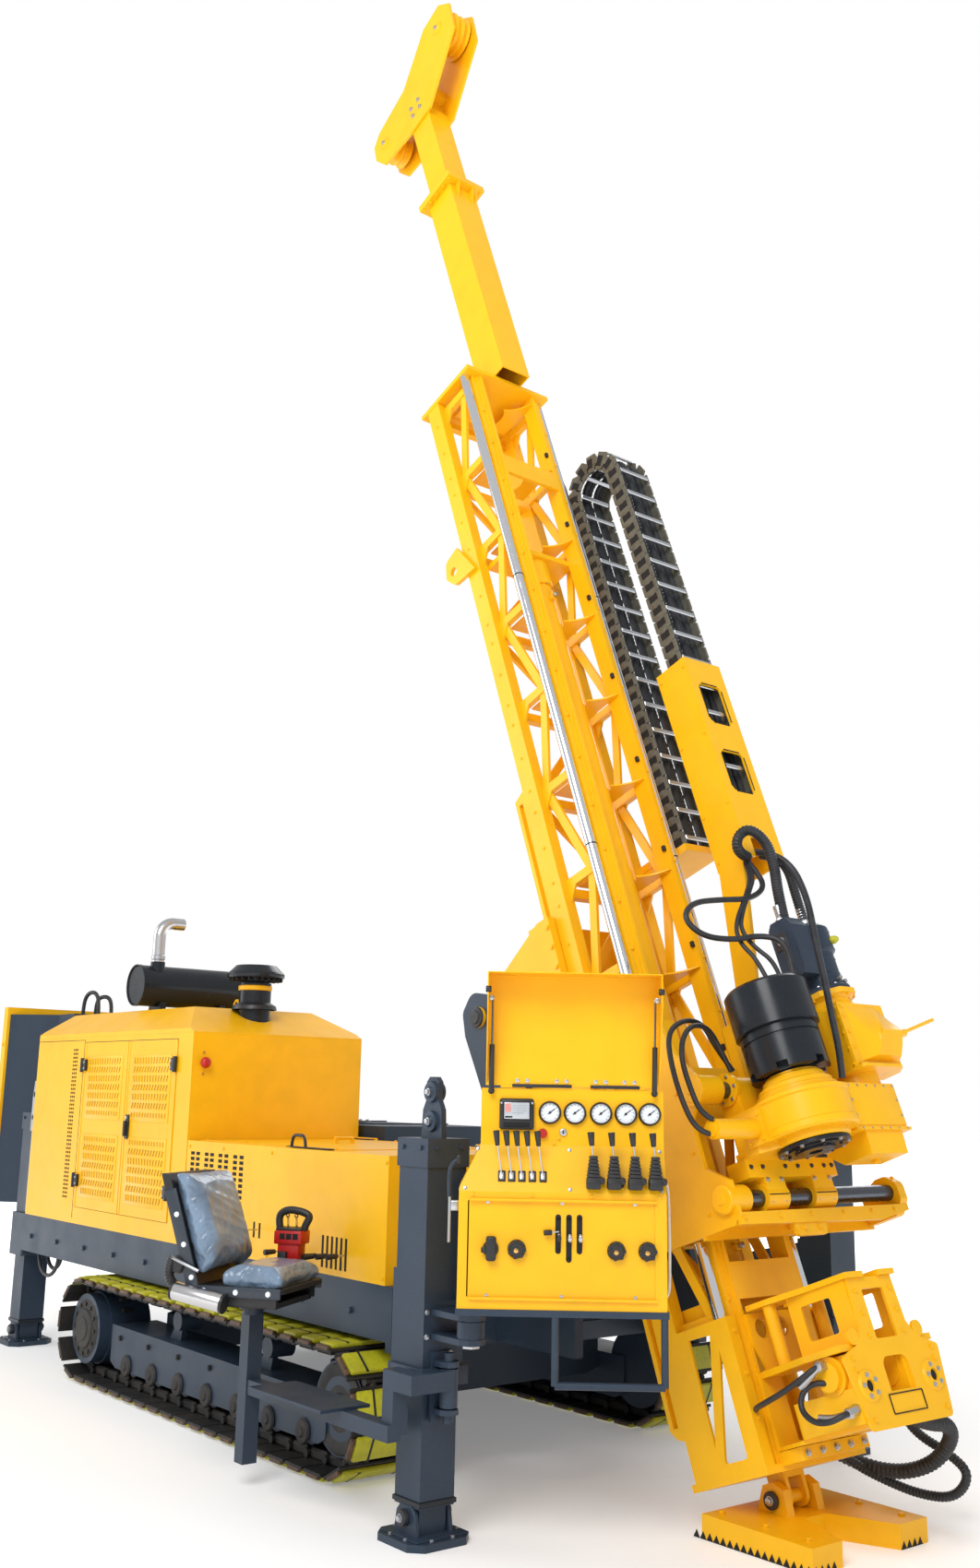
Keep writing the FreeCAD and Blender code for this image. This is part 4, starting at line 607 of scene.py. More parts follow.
class RIG_OT_stage(RigOperator):
    """Floor, soft lamps, white surroundings and the camera"""

    bl_idname = "rig.stage"
    bl_label = "Stage"

    LAMPS = (("key_lamp", (7.0, -9.0, 10.0), 7.0, 980.0), ("fill_lamp", (-9.0, -8.0, 6.0), 8.0, 380.0),
             ("back_lamp", (-4.0, 9.0, 9.0), 8.0, 450.0))
    # strength of the surroundings as a light, and as seen
    LIGHT, SEEN = 0.60, 1.0
    FLOOR_RADIUS = 60.0
    # the camera's place in the machine's frame, at a standing eye height, its aim, level line and roll
    EYE, LENS, SENSOR = (6.6, -4.73, 1.65), 32.57, 36.0
    AIM, LEVEL, ROLL = (-0.7645, 0.6079, 0.2145), (0.6224, 0.7827, 0), -1.107

    def execute(self, context):
        scene = context.scene
        scene.view_settings.view_transform = "Standard"
        self.world(scene)
        self.floor(scene)
        self.lamps(scene)
        self.camera(scene)
        return {"FINISHED"}

    def world(self, scene):
        world = bpy.data.worlds.new("soft_white")
        world.use_nodes = True
        nodes, links = world.node_tree.nodes, world.node_tree.links
        back = nodes["Background"]
        back.inputs["Color"].default_value = (1, 1, 1, 1)
        rays = nodes.new("ShaderNodeLightPath")
        seen = nodes.new("ShaderNodeMath")
        seen.operation = "MAXIMUM"
        links.new(rays.outputs["Is Camera Ray"], seen.inputs[0])
        links.new(rays.outputs["Is Transmission Ray"], seen.inputs[1])
        strength = nodes.new("ShaderNodeMapRange")
        strength.inputs["To Min"].default_value = self.LIGHT
        strength.inputs["To Max"].default_value = self.SEEN
        links.new(seen.outputs[0], strength.inputs["Value"])
        links.new(strength.outputs["Result"], back.inputs["Strength"])
        scene.world = world

    def floor(self, scene):
        bm = bmesh.new()
        bmesh.ops.create_circle(bm, cap_ends=True, segments=96, radius=self.FLOOR_RADIUS)
        mesh = bpy.data.meshes.new("floor")
        bm.to_mesh(mesh)
        bm.free()
        floor = bpy.data.objects.new("floor", mesh)
        scene.collection.objects.link(floor)
        f = Finish("pale_floor", (0.90, 0.90, 0.90), 0.9)
        f.shade(f.noise(0.6), (0.88, 0.88, 0.88), 0, 0.5)
        f.fade(4.5, 9.0, 0.20)
        mesh.materials.append(f.material)

    def lamps(self, scene):
        target = Vector((0, 0, 2.5))
        for name, at, size, power in self.LAMPS:
            light = bpy.data.lights.new(name, "AREA")
            light.shape = "DISK"
            light.size = size
            light.energy = power
            lamp = bpy.data.objects.new(name, light)
            lamp.location = at
            lamp.rotation_euler = (target - Vector(at)).to_track_quat("-Z", "Y").to_euler()
            scene.collection.objects.link(lamp)

    def camera(self, scene):
        data = bpy.data.cameras.new("camera")
        data.sensor_width = self.SENSOR
        data.lens = self.LENS
        camera = bpy.data.objects.new("camera", data)
        forward = Vector(self.AIM).normalized()
        level = Vector(self.LEVEL).normalized()
        right = Matrix.Rotation(math.radians(self.ROLL), 3, forward) @ level
        up = right.cross(forward)
        turn = Matrix((right, up, -forward)).transposed().to_4x4()
        camera.matrix_world = MACHINE @ Matrix.Translation(self.EYE) @ turn
        scene.collection.objects.link(camera)
        scene.camera = camera


class RIG_OT_tracks(RigOperator):
    """Rubber-padded shoes on both tracks, with chain links and hub covers"""

    bl_idname = "rig.tracks"
    bl_label = "Tracks"

    SHOES, TEETH, ROLLERS = 43, 17, 7
    # X of the rear and front axles, radius of the chain's pins, height of the axles, Y of a track's middle
    REAR, FRONT, PIN, AXLE = -1.64, 0.98, 0.236, 0.29
    MIDDLE = 0.925

    def belt(self, side):
        """Places of the shoes round one track: X along the belt, Z outwards."""
        run, arc = self.FRONT - self.REAR, math.pi * self.PIN
        pitch = 2 * (run + arc) / self.SHOES
        for i in range(self.SHOES):
            u = (i + 0.5) * pitch
            if u < run:
                x, lean = self.REAR + u, -math.pi / 2
            elif u < run + arc:
                x, lean = self.FRONT, -math.pi / 2 + (u - run) / self.PIN
            elif u < 2 * run + arc:
                x, lean = self.FRONT - (u - run - arc), math.pi / 2
            else:
                x, lean = self.REAR, math.pi / 2 + (u - 2 * run - arc) / self.PIN
            centre = shift(x, side * self.MIDDLE, self.AXLE)
            yield centre @ Matrix.Rotation(math.pi / 2 - lean, 4, "Y") @ shift(0, 0, self.PIN)

    def shoe(self):
        s = Piece("shoe")
        s.block((-0.070, -0.222, 0.012), (0.070, 0.222, 0.026), "track", 0.003, segments=1)
        s.block((-0.055, -0.200, 0.026), (0.055, 0.200, 0.0503), "lime", 0.010)
        for y in (-0.212, 0.212):
            s.block((-0.048, y - 0.011, 0.020), (0.048, y + 0.011, 0.040), "ends", 0.004, segments=1)
        for y in (-0.12, 0.12):
            s.block((-0.058, y - 0.006, 0.047), (0.058, y + 0.006, 0.0506), "track", 0)
        # the chain's two side links and its pin
        for y in (-0.085, 0.085):
            s.block((-0.082, y - 0.018, -0.034), (0.050, y + 0.018, 0.014), "track", 0.010, segments=1)
            s.block((0.030, y - 0.004, -0.028), (0.082, y + 0.030, 0.010), "track", 0.008, segments=1)
        s.drum((0.062, -0.118, -0.008), (0.062, 0.118, -0.008), 0.019, "track", 10, 0)
        return s

    def hubs(self, side):
        h = Piece("track_hubs_" + ("right" if side < 0 else "left"), MACHINE)
        face = side * 1.095
        place = shift(self.REAR, face, self.AXLE) @ turn("X", -90 * side)
        h.lathe([(0, 0.022), (0.06, 0.022), (0.066, 0.016), (0.105, 0.014), (0.112, 0.004), (0.150, 0.002),
                 (0.172, -0.012), (0.172, -0.03)], "track", place)
        h.bolts([(self.REAR + u, face, self.AXLE + v) for u, v in circle(12, 0.135)], (0, side, 0), "track",
                0.020)
        sprocket = shift(self.REAR, side * self.MIDDLE, self.AXLE)
        for i in range(self.TEETH):
            h.block((0.178, -0.028, -0.012), (0.214, 0.028, 0.012), "track", 0.006, segments=1,
                    place=sprocket @ turn("Y", 360 * (i + 0.5) / self.TEETH))
        front = shift(self.FRONT, side * 1.042, self.AXLE) @ turn("X", -90 * side)
        h.lathe([(0, 0.020), (0.040, 0.020), (0.050, 0.012), (0.062, 0.012), (0.066, 0.0), (0.130, -0.004),
                 (0.150, 0.004), (0.185, 0.004), (0.196, -0.010)], "track", front)
        for i in range(self.ROLLERS):
            h.lathe([(0, 0.012), (0.020, 0.012), (0.026, 0.006), (0.050, 0.004), (0.058, -0.006)], "track",
                    shift(-1.15 + 0.31 * i, side * 1.062, 0.152) @ turn("X", -90 * side), 20)
        h.bolts([(x, side * 1.052, 0.285) for x in (-1.25, -0.9, -0.55, -0.2, 0.15, 0.5, 0.8)],
                (0, side, 0), "track", 0.022)
        h.done("chassis")

    def execute(self, context):
        for side, name in ((-1, "right"), (1, "left")):
            t = Piece("track_shoes_" + name, MACHINE)
            t.copies(self.shoe(), self.belt(side))
            t.done("chassis", ["track_" + name])
            self.hubs(side)
        return {"FINISHED"}


class RIG_OT_hood(RigOperator):
    """Louvres, hinges and latch of the hood doors, vent holes, seam bolts and lifting eyes"""

    bl_idname = "rig.hood"
    bl_label = "Hood"

    OUT = -1.002
    DOORS = (("door_rear", -2.163, -1.5245), ("door_front", -1.5185, -0.880))

    def louvre(self):
        """One upright pressed slot, -Y outwards."""
        s = Piece("louvre")
        # the dark block is painted shade in the slot's opening
        s.block((-0.0040, -0.0014, -0.0175), (0.0040, 0.001, 0.0175), "gap", 0)
        s.block((0.0038, -0.0030, -0.0165), (0.0052, 0.001, 0.0165), "yellow", 0)
        return s

    def door(self, body, x0, x1):
        d = Piece(body + "_trim", MACHINE)
        wide, rows, columns = 0.47, 7, 13
        middle = (x0 + x1) / 2
        for low in (1.005, 1.475):
            d.block((middle - wide / 2 - 0.02, self.OUT - 0.003, low - 0.012),
                    (middle + wide / 2 + 0.02, self.OUT + 0.001, low + 0.372), "yellow", 0.0015)
            spots = []
            for row in range(rows):
                plain = row == (rows - 1 if low < 1.2 else 0)
                for column in range(columns):
                    x = middle - wide / 2 + (column + 0.5) * wide / columns
                    lean = 0 if plain else (26 if row % 2 else -14 + 3 * column)
                    spots.append(shift(x, self.OUT - 0.003, low + 0.026 + row * 0.052) @ turn("Y", lean)
                                 @ Matrix.Diagonal((1, 1, 0.7 if plain else 1, 1)))
            d.copies(self.louvre(), spots)
        for x in (x0 + 0.012, x1 - 0.012):
            d.block((x - 0.010, self.OUT - 0.003, 0.934), (x + 0.010, self.OUT + 0.001, 1.926), "yellow",
                    0.001)
        hinge_x = x0 if body == "door_rear" else x1
        inward = 1 if body == "door_rear" else -1
        for z in (1.05, 1.75):
            reach = sorted((hinge_x + inward * 0.008, hinge_x + inward * 0.052))
            d.block((reach[0], self.OUT - 0.018, z + 0.004), (reach[1], self.OUT, z + 0.076), "plastic",
                    0.004)
            d.drum((hinge_x, -1.016, z - 0.004), (hinge_x, -1.016, z + 0.084), 0.0125, "plastic", 16, 0.002)
            for dz in (0.022, 0.058):
                d.bolt((hinge_x + inward * 0.038, self.OUT - 0.018, z + dz), (0, -1, 0), "zinc", 0.010)
        if body == "door_front":
            x = x0 + 0.055
            d.block((x - 0.022, self.OUT - 0.012, 1.36), (x + 0.022, self.OUT, 1.50), "plastic", 0.006)
            d.block((x - 0.012, self.OUT - 0.030, 1.375), (x + 0.012, self.OUT - 0.010, 1.465), "plastic",
                    0.008)
            d.drum((x, self.OUT - 0.010, 1.482), (x, self.OUT - 0.018, 1.482), 0.010, "zinc", 16)
        d.done(body)

    def shell(self):
        s = Piece("hood_trim", MACHINE)
        hole = Piece("hole")
        # dark block: painted shade inside each vent hole
        hole.block((-0.006, -0.0022, -0.006), (0.006, 0.001, 0.006), "gap", 0)
        s.copies(hole, [shift(-2.34 + 0.026 * column, -1.0, 0.98 + 0.0245 * row)
                        for column in range(3) for row in range(38)])
        s.block((-2.935, -1.0012, 1.9445), (-2.180, -0.999, 1.9475), "gap", 0)
        s.block((-2.166, -1.0014, 1.9285), (-0.877, -0.999, 1.9335), "gap", 0)
        s.block((-2.182, -1.0012, 0.86), (-2.179, -0.999, 1.946), "gap", 0)
        for x, z in ((-2.45, 2.13), (-1.25, 2.13)):
            s.plate([(-0.05, 0), (0.05, 0), (0.035, 0.05), (0.012, 0.068), (-0.012, 0.068), (-0.035, 0.05)],
                    -0.006, 0.006, "yellow", 0.002, shift(x, -0.44, z) @ turn("X", 90))
            # dark disc: painted shade in the eye's hole
            s.drum((x, -0.44 - 0.0075, z + 0.040), (x, -0.44 + 0.0075, z + 0.040), 0.013, "gap", 16, 0)
        s.drum((-0.70, -0.93, 1.80), (-0.685, -0.93, 1.80), 0.020, "plastic", 20)
        s.ball((-0.672, -0.93, 1.80), 0.031, "red", (0.75, 1, 1))
        for z in (1.738, 1.856):
            s.bolt((-0.70, -0.93, z), (1, 0, 0), "brass", 0.012)
        s.done("chassis")

    def intakes(self):
        a = Piece("air_cleaner_trim", MACHINE)
        place = shift(-0.98, -0.47, 0)
        a.lathe([(0.0955, 2.236), (0.100, 2.240), (0.100, 2.262), (0.0955, 2.266)], "yellow", place)
        a.lathe([(0.0955, 2.165), (0.128, 2.146), (0.134, 2.124)], "plastic", place)
        a.lathe([(0.168, 2.312), (0.171, 2.318), (0.171, 2.334), (0.164, 2.344)], "black", place)
        # dark blocks: painted shade in the intake slots
        for i in range(24):
            b = math.tau * i / 24
            a.block((0.100, -0.004, 2.292), (0.160, 0.004, 2.309), "gap", 0,
                    place @ Matrix.Rotation(b, 4, "Z"))
        a.lathe([(0.131, 0.0), (0.131, 0.020), (0.124, 0.020), (0.120, 0.004)], "black",
                shift(-1.85, -0.82, 2.29) @ turn("X", 90))
        a.lathe([(0, 0.003), (0.119, 0.003), (0.121, 0.0)], "shell",
                shift(-1.85, -0.8205, 2.29) @ turn("X", 90))
        a.lathe([(0.0385, 2.452), (0.043, 2.456), (0.043, 2.478), (0.0385, 2.482)], "zinc",
                shift(-1.8, -0.72, 0))
        a.done("chassis")

    def execute(self, context):
        for body, x0, x1 in self.DOORS:
            self.door(body, x0, x1)
        self.shell()
        self.intakes()
        return {"FINISHED"}


class RIG_OT_valve_box(RigOperator):
    """Perforated panel, slots with levers, and bolts of the valve box"""

    bl_idname = "rig.valve_box"
    bl_label = "Valve box"

    def execute(self, context):
        v = Piece("valve_box_trim", MACHINE)
        # dark blocks: painted shade inside the panel's perforations
        hole = Piece("hole")
        hole.block((-0.0195, -0.0022, -0.0085), (0.0195, 0.001, 0.0085), "gap", 0.005)
        v.copies(hole, [shift(x, -1.0, 1.315 - 0.0285 * row)
                        for x in (-0.622, -0.561, -0.464, -0.403, -0.311, -0.246, -0.151, -0.084)
                        for row in range(14)])
        slots = [(0.080, 0.935, 1.010), (0.135, 0.935, 1.008), (0.440, 0.851, 0.995)]
        slots += [(0.725 + 0.0394 * i, 0.858, 1.0) for i in range(6)]
        # dark strips: painted shade in the lever slots
        for x, low, high in slots:
            v.block((x - 0.008, -1.0020, low), (x + 0.008, -0.999, high), "gap", 0.004)
        for x, z, out in ((0.107, 0.975, 0.075), (0.440, 0.905, 0.085), (0.764, 0.915, 0.060),
                          (0.843, 0.921, 0.050), (0.922, 0.927, 0.045), (0.804, 0.918, 0.095)):
            v.drum((x, -1.0, z), (x, -1.0 - out, z), 0.0035, "zinc", 10)
            v.drum((x, -1.0 - out, z), (x, -1.060 - out, z - 0.002), 0.011, "plastic", 16, 0.005, 0.014)
        cover_bolts = (
            ((0, -1, 0), [(x, -1.0, z) for x in (-0.66, -0.28, 0.22, 1.225) for z in (0.86, 1.35)]),
            ((1, 0, 0), [(1.24, y, z) for y in (-0.94, -0.70, -0.45, -0.20, 0.06) for z in (0.87, 1.34)]),
            ((0, 1, 0), [(x, 0.12, 1.34) for x in (-0.60, -0.15, 0.30, 0.75, 1.18)]),
        )
        for normal, spots in cover_bolts:
            v.bolts(spots, normal, "yellow", 0.013)
        v.done("chassis")
        lid = Piece("valve_box_lid_trim", MACHINE)
        lid.bolts([(x, y, 1.384) for x in (-0.62, -0.2, 0.25, 0.68) for y in (-0.915, 0.045)], (0, 0, 1),
                  "yellow", 0.014)
        lid.tube([(0.330, -0.955, 1.384), (0.335, -0.955, 1.440), (0.395, -0.955, 1.442),
                  (0.455, -0.955, 1.440), (0.460, -0.955, 1.384)], 0.008, "plastic", 10)
        lid.block((0.305, -0.972, 1.384), (0.700, -0.940, 1.388), "plastic", 0.001)
        for x in (-0.54, 0.60):
            lid.block((x - 0.09, 0.028, 1.384), (x + 0.09, 0.070, 1.390), "plastic", 0.002)
        lid.done("box_lid")
        return {"FINISHED"}


class RIG_OT_jacks(RigOperator):
    """Pins, hinge plates, bolts and foot details of the four jacks"""

    bl_idname = "rig.jacks"
    bl_label = "Jacks"

    TOWERS = (("front_right", 1.88, -1.23), ("front_left", 1.88, 1.23),
              ("rear_right", -3.06, -0.885), ("rear_left", -3.06, 0.885))

    def tower(self, x, y, t):
        for z in (1.545, 1.660):
            for side in (-1, 1):
                t.lathe(PIN_CAP, "slate", shift(x, y + side * 0.012, z) @ turn("X", -90 * side), 24)
            t.bolt((x, y - 0.034, z), (0, -1, 0), "zinc", 0.020)
        half = 0.103
        for dx, dy in ((half, 0), (-half, 0), (0, half), (0, -half)):
            for u in (-0.06, 0.06):
                at = (x + dx + (u if not dx else 0), y + dy + (u if not dy else 0), 1.445)
                t.bolt(at, (dx, dy, 0), "slate", 0.016)
        # collar at the lower end, where the leg slides out
        out, thick, low, high = 0.1045, 0.0085, 0.562, 0.632
        for side in (-out, out):
            t.block((x + side - thick, y - 0.112, low), (x + side + thick, y + 0.112, high), "slate")
            t.block((x - 0.0955, y + side - thick, low), (x + 0.0955, y + side + thick, high), "slate")

    def foot(self, x, y, name):
        f = Piece("jack_foot_" + name, MACHINE)
        for dy in (-1, 1):
            f.plate([(-0.075, 0.028), (0.075, 0.028), (0.060, 0.110), (0.035, 0.138), (-0.035, 0.138),
                     (-0.060, 0.110)], 0, 0.018, "slate", 0.003,
                    shift(x, y + dy * 0.078 + 0.009, 0) @ turn("X", 90))
            f.drum((x, y + dy * 0.086, 0.092), (x, y + dy * 0.112, 0.092), 0.030, "casting", 24)
            f.bolt((x, y + dy * 0.112, 0.092), (0, dy, 0), "zinc", 0.022)
        f.block((x - 0.118, y - 0.118, 0.028), (x + 0.118, y + 0.118, 0.034), "slate")
        f.bolts([(x + u, y + v, 0.028) for u, v in circle(8, 0.128, 0.5)], (0, 0, 1), "zinc", 0.014)
        f.lathe([(0.114, 0.0), (0.124, 0.004), (0.124, 0.020), (0.114, 0.024)], "black",
                shift(x, y, 0.134) @ turn("Z", 45), 4)
        f.done("jack_" + name)

    def lugs(self, t):
        """Console and seat arm hinges on the front right tower."""
        for z in (0.735, 0.822):
            t.lathe([(0.0265, 0.0), (0.050, 0.0), (0.050, 0.007), (0.0265, 0.007)], "slate",
                    shift(2.151, -1.234, z + 0.022), 28)
        t.drum((2.151, -1.234, 0.722), (2.151, -1.234, 0.735), 0.036, "zinc", 6)
        t.bolts([(1.975, y, z) for z in (0.745, 0.833) for y in (-1.16, -1.31)], (1, 0, 0), "zinc", 0.016)
        t.bolts([(1.990, -1.205, z) for z in (0.46, 0.50, 0.64, 0.68)], (1, 0, 0), "zinc", 0.016)

    def execute(self, context):
        t = Piece("jack_tower_trim", MACHINE)
        for name, x, y in self.TOWERS:
            self.tower(x, y, t)
            self.foot(x, y, name)
        self.lugs(t)
        t.bolts([(1.765, y, z) for y in (-1.165, -1.3, 1.165, 1.3) for z in (0.60, 0.72, 0.84, 0.94)],
                (-1, 0, 0), "slate", 0.018)
        t.done("chassis")
        return {"FINISHED"}


class RIG_OT_mast(RigOperator):
    """Chord bolts and tabs, ring joints, top plate, gland bolts and crown trim"""

    bl_idname = "rig.mast"
    bl_label = "Mast"

    BAYS, BAY = 10, 0.512
    FIRST_RIB = 0.882
    TOP_PLATE = 6.085

    def chords(self, m):
        for i in range(self.BAYS):
            rib = self.FIRST_RIB + self.BAY * i
            for side in (-1, 1):
                m.bolts([(-0.018, side * 0.233, rib + up) for up in (0.06, 0.30)], (1, 0, 0), "yellow",
                        0.016)
                m.bolts([(-0.335, side * 0.297, rib + up) for up in (0.03, 0.22, 0.42)], (0, side, 0),
                        "yellow", 0.012)
            m.block((-0.020, 0.170, rib + 0.10), (-0.002, 0.186, rib + 0.128), "plastic", 0.002)
        for side in (-1, 1):
            for s in (1.94, 3.02, 4.62):
                m.lathe([(0.0272, 0.0), (0.0282, 0.001), (0.0282, 0.006), (0.0272, 0.007)], "gap",
                        shift(-0.052, side * 0.272, s), 24)
            m.bolts([(0.0, side * 0.265, s) for s in (0.50, 0.66, 0.82)], (1, 0, 0), "yellow", 0.016)

    def cylinder(self, m):
        for s, facing_up in ((1.020, 1), (4.70, -1)):
            m.bolts([(-0.19 + u, v, s) for u, v in circle(8, 0.078)], (0, 0, facing_up), "zinc", 0.010,
                    False)
        for s in (1.16, 4.60):
            m.drum((-0.125, 0, s), (-0.088, 0, s), 0.018, "yellow", 16)
            m.drum((-0.088, 0, s), (-0.066, 0, s), 0.013, "zinc", 6, 0.001)

    def top(self, m):
        z = self.TOP_PLATE
        m.bolts([(n, y, z) for n in (-0.41, -0.28, -0.15, -0.01) for y in (-0.272, 0.272)], (0, 0, 1),
                "yellow", 0.020)
        for side in (-1, 1):
            m.plate([(-0.055, 0), (0.055, 0), (0.040, 0.055), (0.015, 0.078), (-0.015, 0.078),
                     (-0.040, 0.055)],
                    -0.008, 0.008, "yellow", 0.002, shift(-0.37, side * 0.20, z) @ turn("X", 90))
            # dark disc: painted shade in the plate's hole
            m.drum((-0.37, side * 0.20 - 0.0095, z + 0.045), (-0.37, side * 0.20 + 0.0095, z + 0.045),
                   0.015, "gap", 16, 0)
        for y in (-0.122, 0.122):
            for n in (-0.145, -0.075, -0.01, 0.06, 0.125):
                m.bolt((n, y, 7.722), (0, 0, 1), "yellow", 0.018)
                m.bolt((n, y, 7.678), (0, 0, -1), "yellow", 0.018)
        for s in (8.505, 8.575):
            for n in (-0.04, 0.04):
                for side in (-1, 1):
                    m.bolt((n, side * 0.101, s), (0, side, 0), "zinc", 0.022)

    def crown(self, m):
        for n, s, r in ((0.365, 8.90, 0.040), (-0.350, 8.60, 0.036)):
            for side in (-1, 1):
                m.lathe([(0, 0.014), (r * 0.6, 0.014), (r * 0.7, 0.009), (r, 0.008), (r + 0.004, 0.0)],
                        "yellow", shift(n, side * 0.101, s) @ turn("X", -90 * side), 24)
                m.bolt((n, side * 0.1125, s), (0, side, 0), "zinc", 0.022)

    def feet(self, m):
        m.bolts([(n, y, 0.366) for y in (-0.16, -0.055, 0.055, 0.16) for n in (0.03, 0.085)], (0, 0, 1),
                "yellow", 0.022)
        m.bolts([(0.110, y, 0.342) for y in (-0.17, -0.085, 0.0, 0.085, 0.17)], (1, 0, 0), "zinc", 0.020)

    def execute(self, context):
        m = Piece("mast_trim", MAST)
        self.chords(m)
        self.cylinder(m)
        self.top(m)
        self.crown(m)
        self.feet(m)
        m.done("mast")
        c = Piece("cradle_trim", MAST)
        for side in (-1, 1):
            c.bolts([(-0.395, side * 0.344, s) for s in (1.30, 1.40, 1.50, 2.55, 2.65, 2.75)], (0, side, 0),
                    "yellow", 0.020)
            c.bolts([(-0.545, side * 0.24, s) for s in (2.45, 2.60, 2.75)], (-1, 0, 0), "yellow", 0.018)
            c.lathe([(0, 0.020), (0.030, 0.020), (0.034, 0.012), (0.046, 0.010), (0.050, 0.0)], "casting",
                    shift(-0.9355, side * 0.425, 2.516) @ turn("X", -90 * side), 28)
        c.done("cradle")
        return {"FINISHED"}


class RIG_OT_energy_chain(RigOperator):
    """Side links, crossbars and corrugated hoses of the energy chain"""

    bl_idname = "rig.energy_chain"
    bl_label = "Energy chain"

    CENTRE, RADIUS = 0.095, 0.1625
    LOW, HIGH = 3.100, 5.330
    ACROSS = 0.478
    LINKS = 62
    HALF_WAY = 4.0

    def places(self):
        leg = self.HIGH - self.LOW
        arc = math.pi * self.RADIUS
        pitch = (2 * leg + arc) / self.LINKS
        for i in range(self.LINKS):
            u = (i + 0.5) * pitch
            if u < leg:
                n, s, lean = self.CENTRE, self.LOW + u, math.pi
            elif u < leg + arc:
                n, s, lean = self.CENTRE, self.HIGH, math.pi * (1 - (u - leg) / arc)
            else:
                n, s, lean = self.CENTRE, self.HIGH - (u - leg - arc), 0.0
            centre = shift(n, self.ACROSS, s)
            yield centre @ Matrix.Rotation(math.pi / 2 - lean, 4, "Y") @ shift(0, 0, self.RADIUS)

    def link(self):
        k = Piece("link")
        for side in (-1, 1):
            y = side * 0.112
            k.plate([(-0.038, -0.052), (0.030, -0.052), (0.047, -0.020), (0.047, 0.020), (0.030, 0.052),
                     (-0.038, 0.052)], -0.0055, 0.0055, "khaki", 0.002, shift(0, y, 0) @ turn("X", 90))
            k.drum((0.034, y - 0.0075, 0), (0.034, y + 0.0075, 0), 0.020, "khaki", 14, 0.0015)
            # thin dark sheet: painted shade in the side link's hollow
            k.block((-0.030, y + side * 0.004, -0.030), (0.010, y + side * 0.0062, 0.030), "gap", 0)
        return k

    def bar(self):
        b = Piece("bar")
        for z in (-0.051, 0.051):
            b.block((-0.013, -0.106, z - 0.0055), (0.013, 0.106, z + 0.0055), "zinc", 0.004, segments=1)
        return b

    def blended(self, piece, replaced=()):
        thing = piece.done(None, replaced)
        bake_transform(thing)

    def execute(self, context):
        spots = list(self.places())
        links = Piece("chain_links", MAST)
        links.copies(self.link(), spots)
        links.copies(self.bar(), spots[::2])
        self.blended(links, ["energy_chain"])
        hoses = Piece("chain_hoses", MAST)
        c, r, low, high = self.CENTRE, self.RADIUS, self.LOW, self.HIGH
        for i, y in enumerate((-0.078, -0.034, 0.008, 0.050, 0.086)):
            a = r - (0.012 if i % 2 else 0.0)
            line = [(c - a, low), (c - a, 3.9), (c - a, 4.7), (c - a, high), (c - a, high + 0.55 * a),
                    (c - 0.55 * a, high + a), (c + 0.55 * a, high + a), (c + a, high + 0.55 * a),
                    (c + a, high), (c + a, 4.7), (c + a, 3.9), (c + a, low)]
            hoses.tube([(n, self.ACROSS + y, s) for n, s in line], 0.019 if i < 3 else 0.015, "hose", 8,
                       0.024 if i < 3 else None)
        self.blended(hoses)
        g = Piece("chain_guide_trim", MAST)
        for y, side in ((0.345, -1), (0.612, 1)):
            g.bolts([(n, y, s) for s in (2.90, 3.15, 3.55, 3.95) for n in (0.150, 0.315)], (0, side, 0),
                    "yellow", 0.014)
        for low_s, high_s in ((3.62, 3.85), (3.22, 3.45)):
            for s in (low_s - 0.004, high_s + 0.004):
                g.block((0.334, 0.420, s - 0.003), (0.3375, 0.535, s + 0.003), "gap", 0.001)
            for y in (0.396, 0.559):
                g.block((0.334, y - 0.003, low_s + 0.02), (0.3375, y + 0.003, high_s - 0.02), "gap", 0.001)
        g.done("carriage")
        return {"FINISHED"}


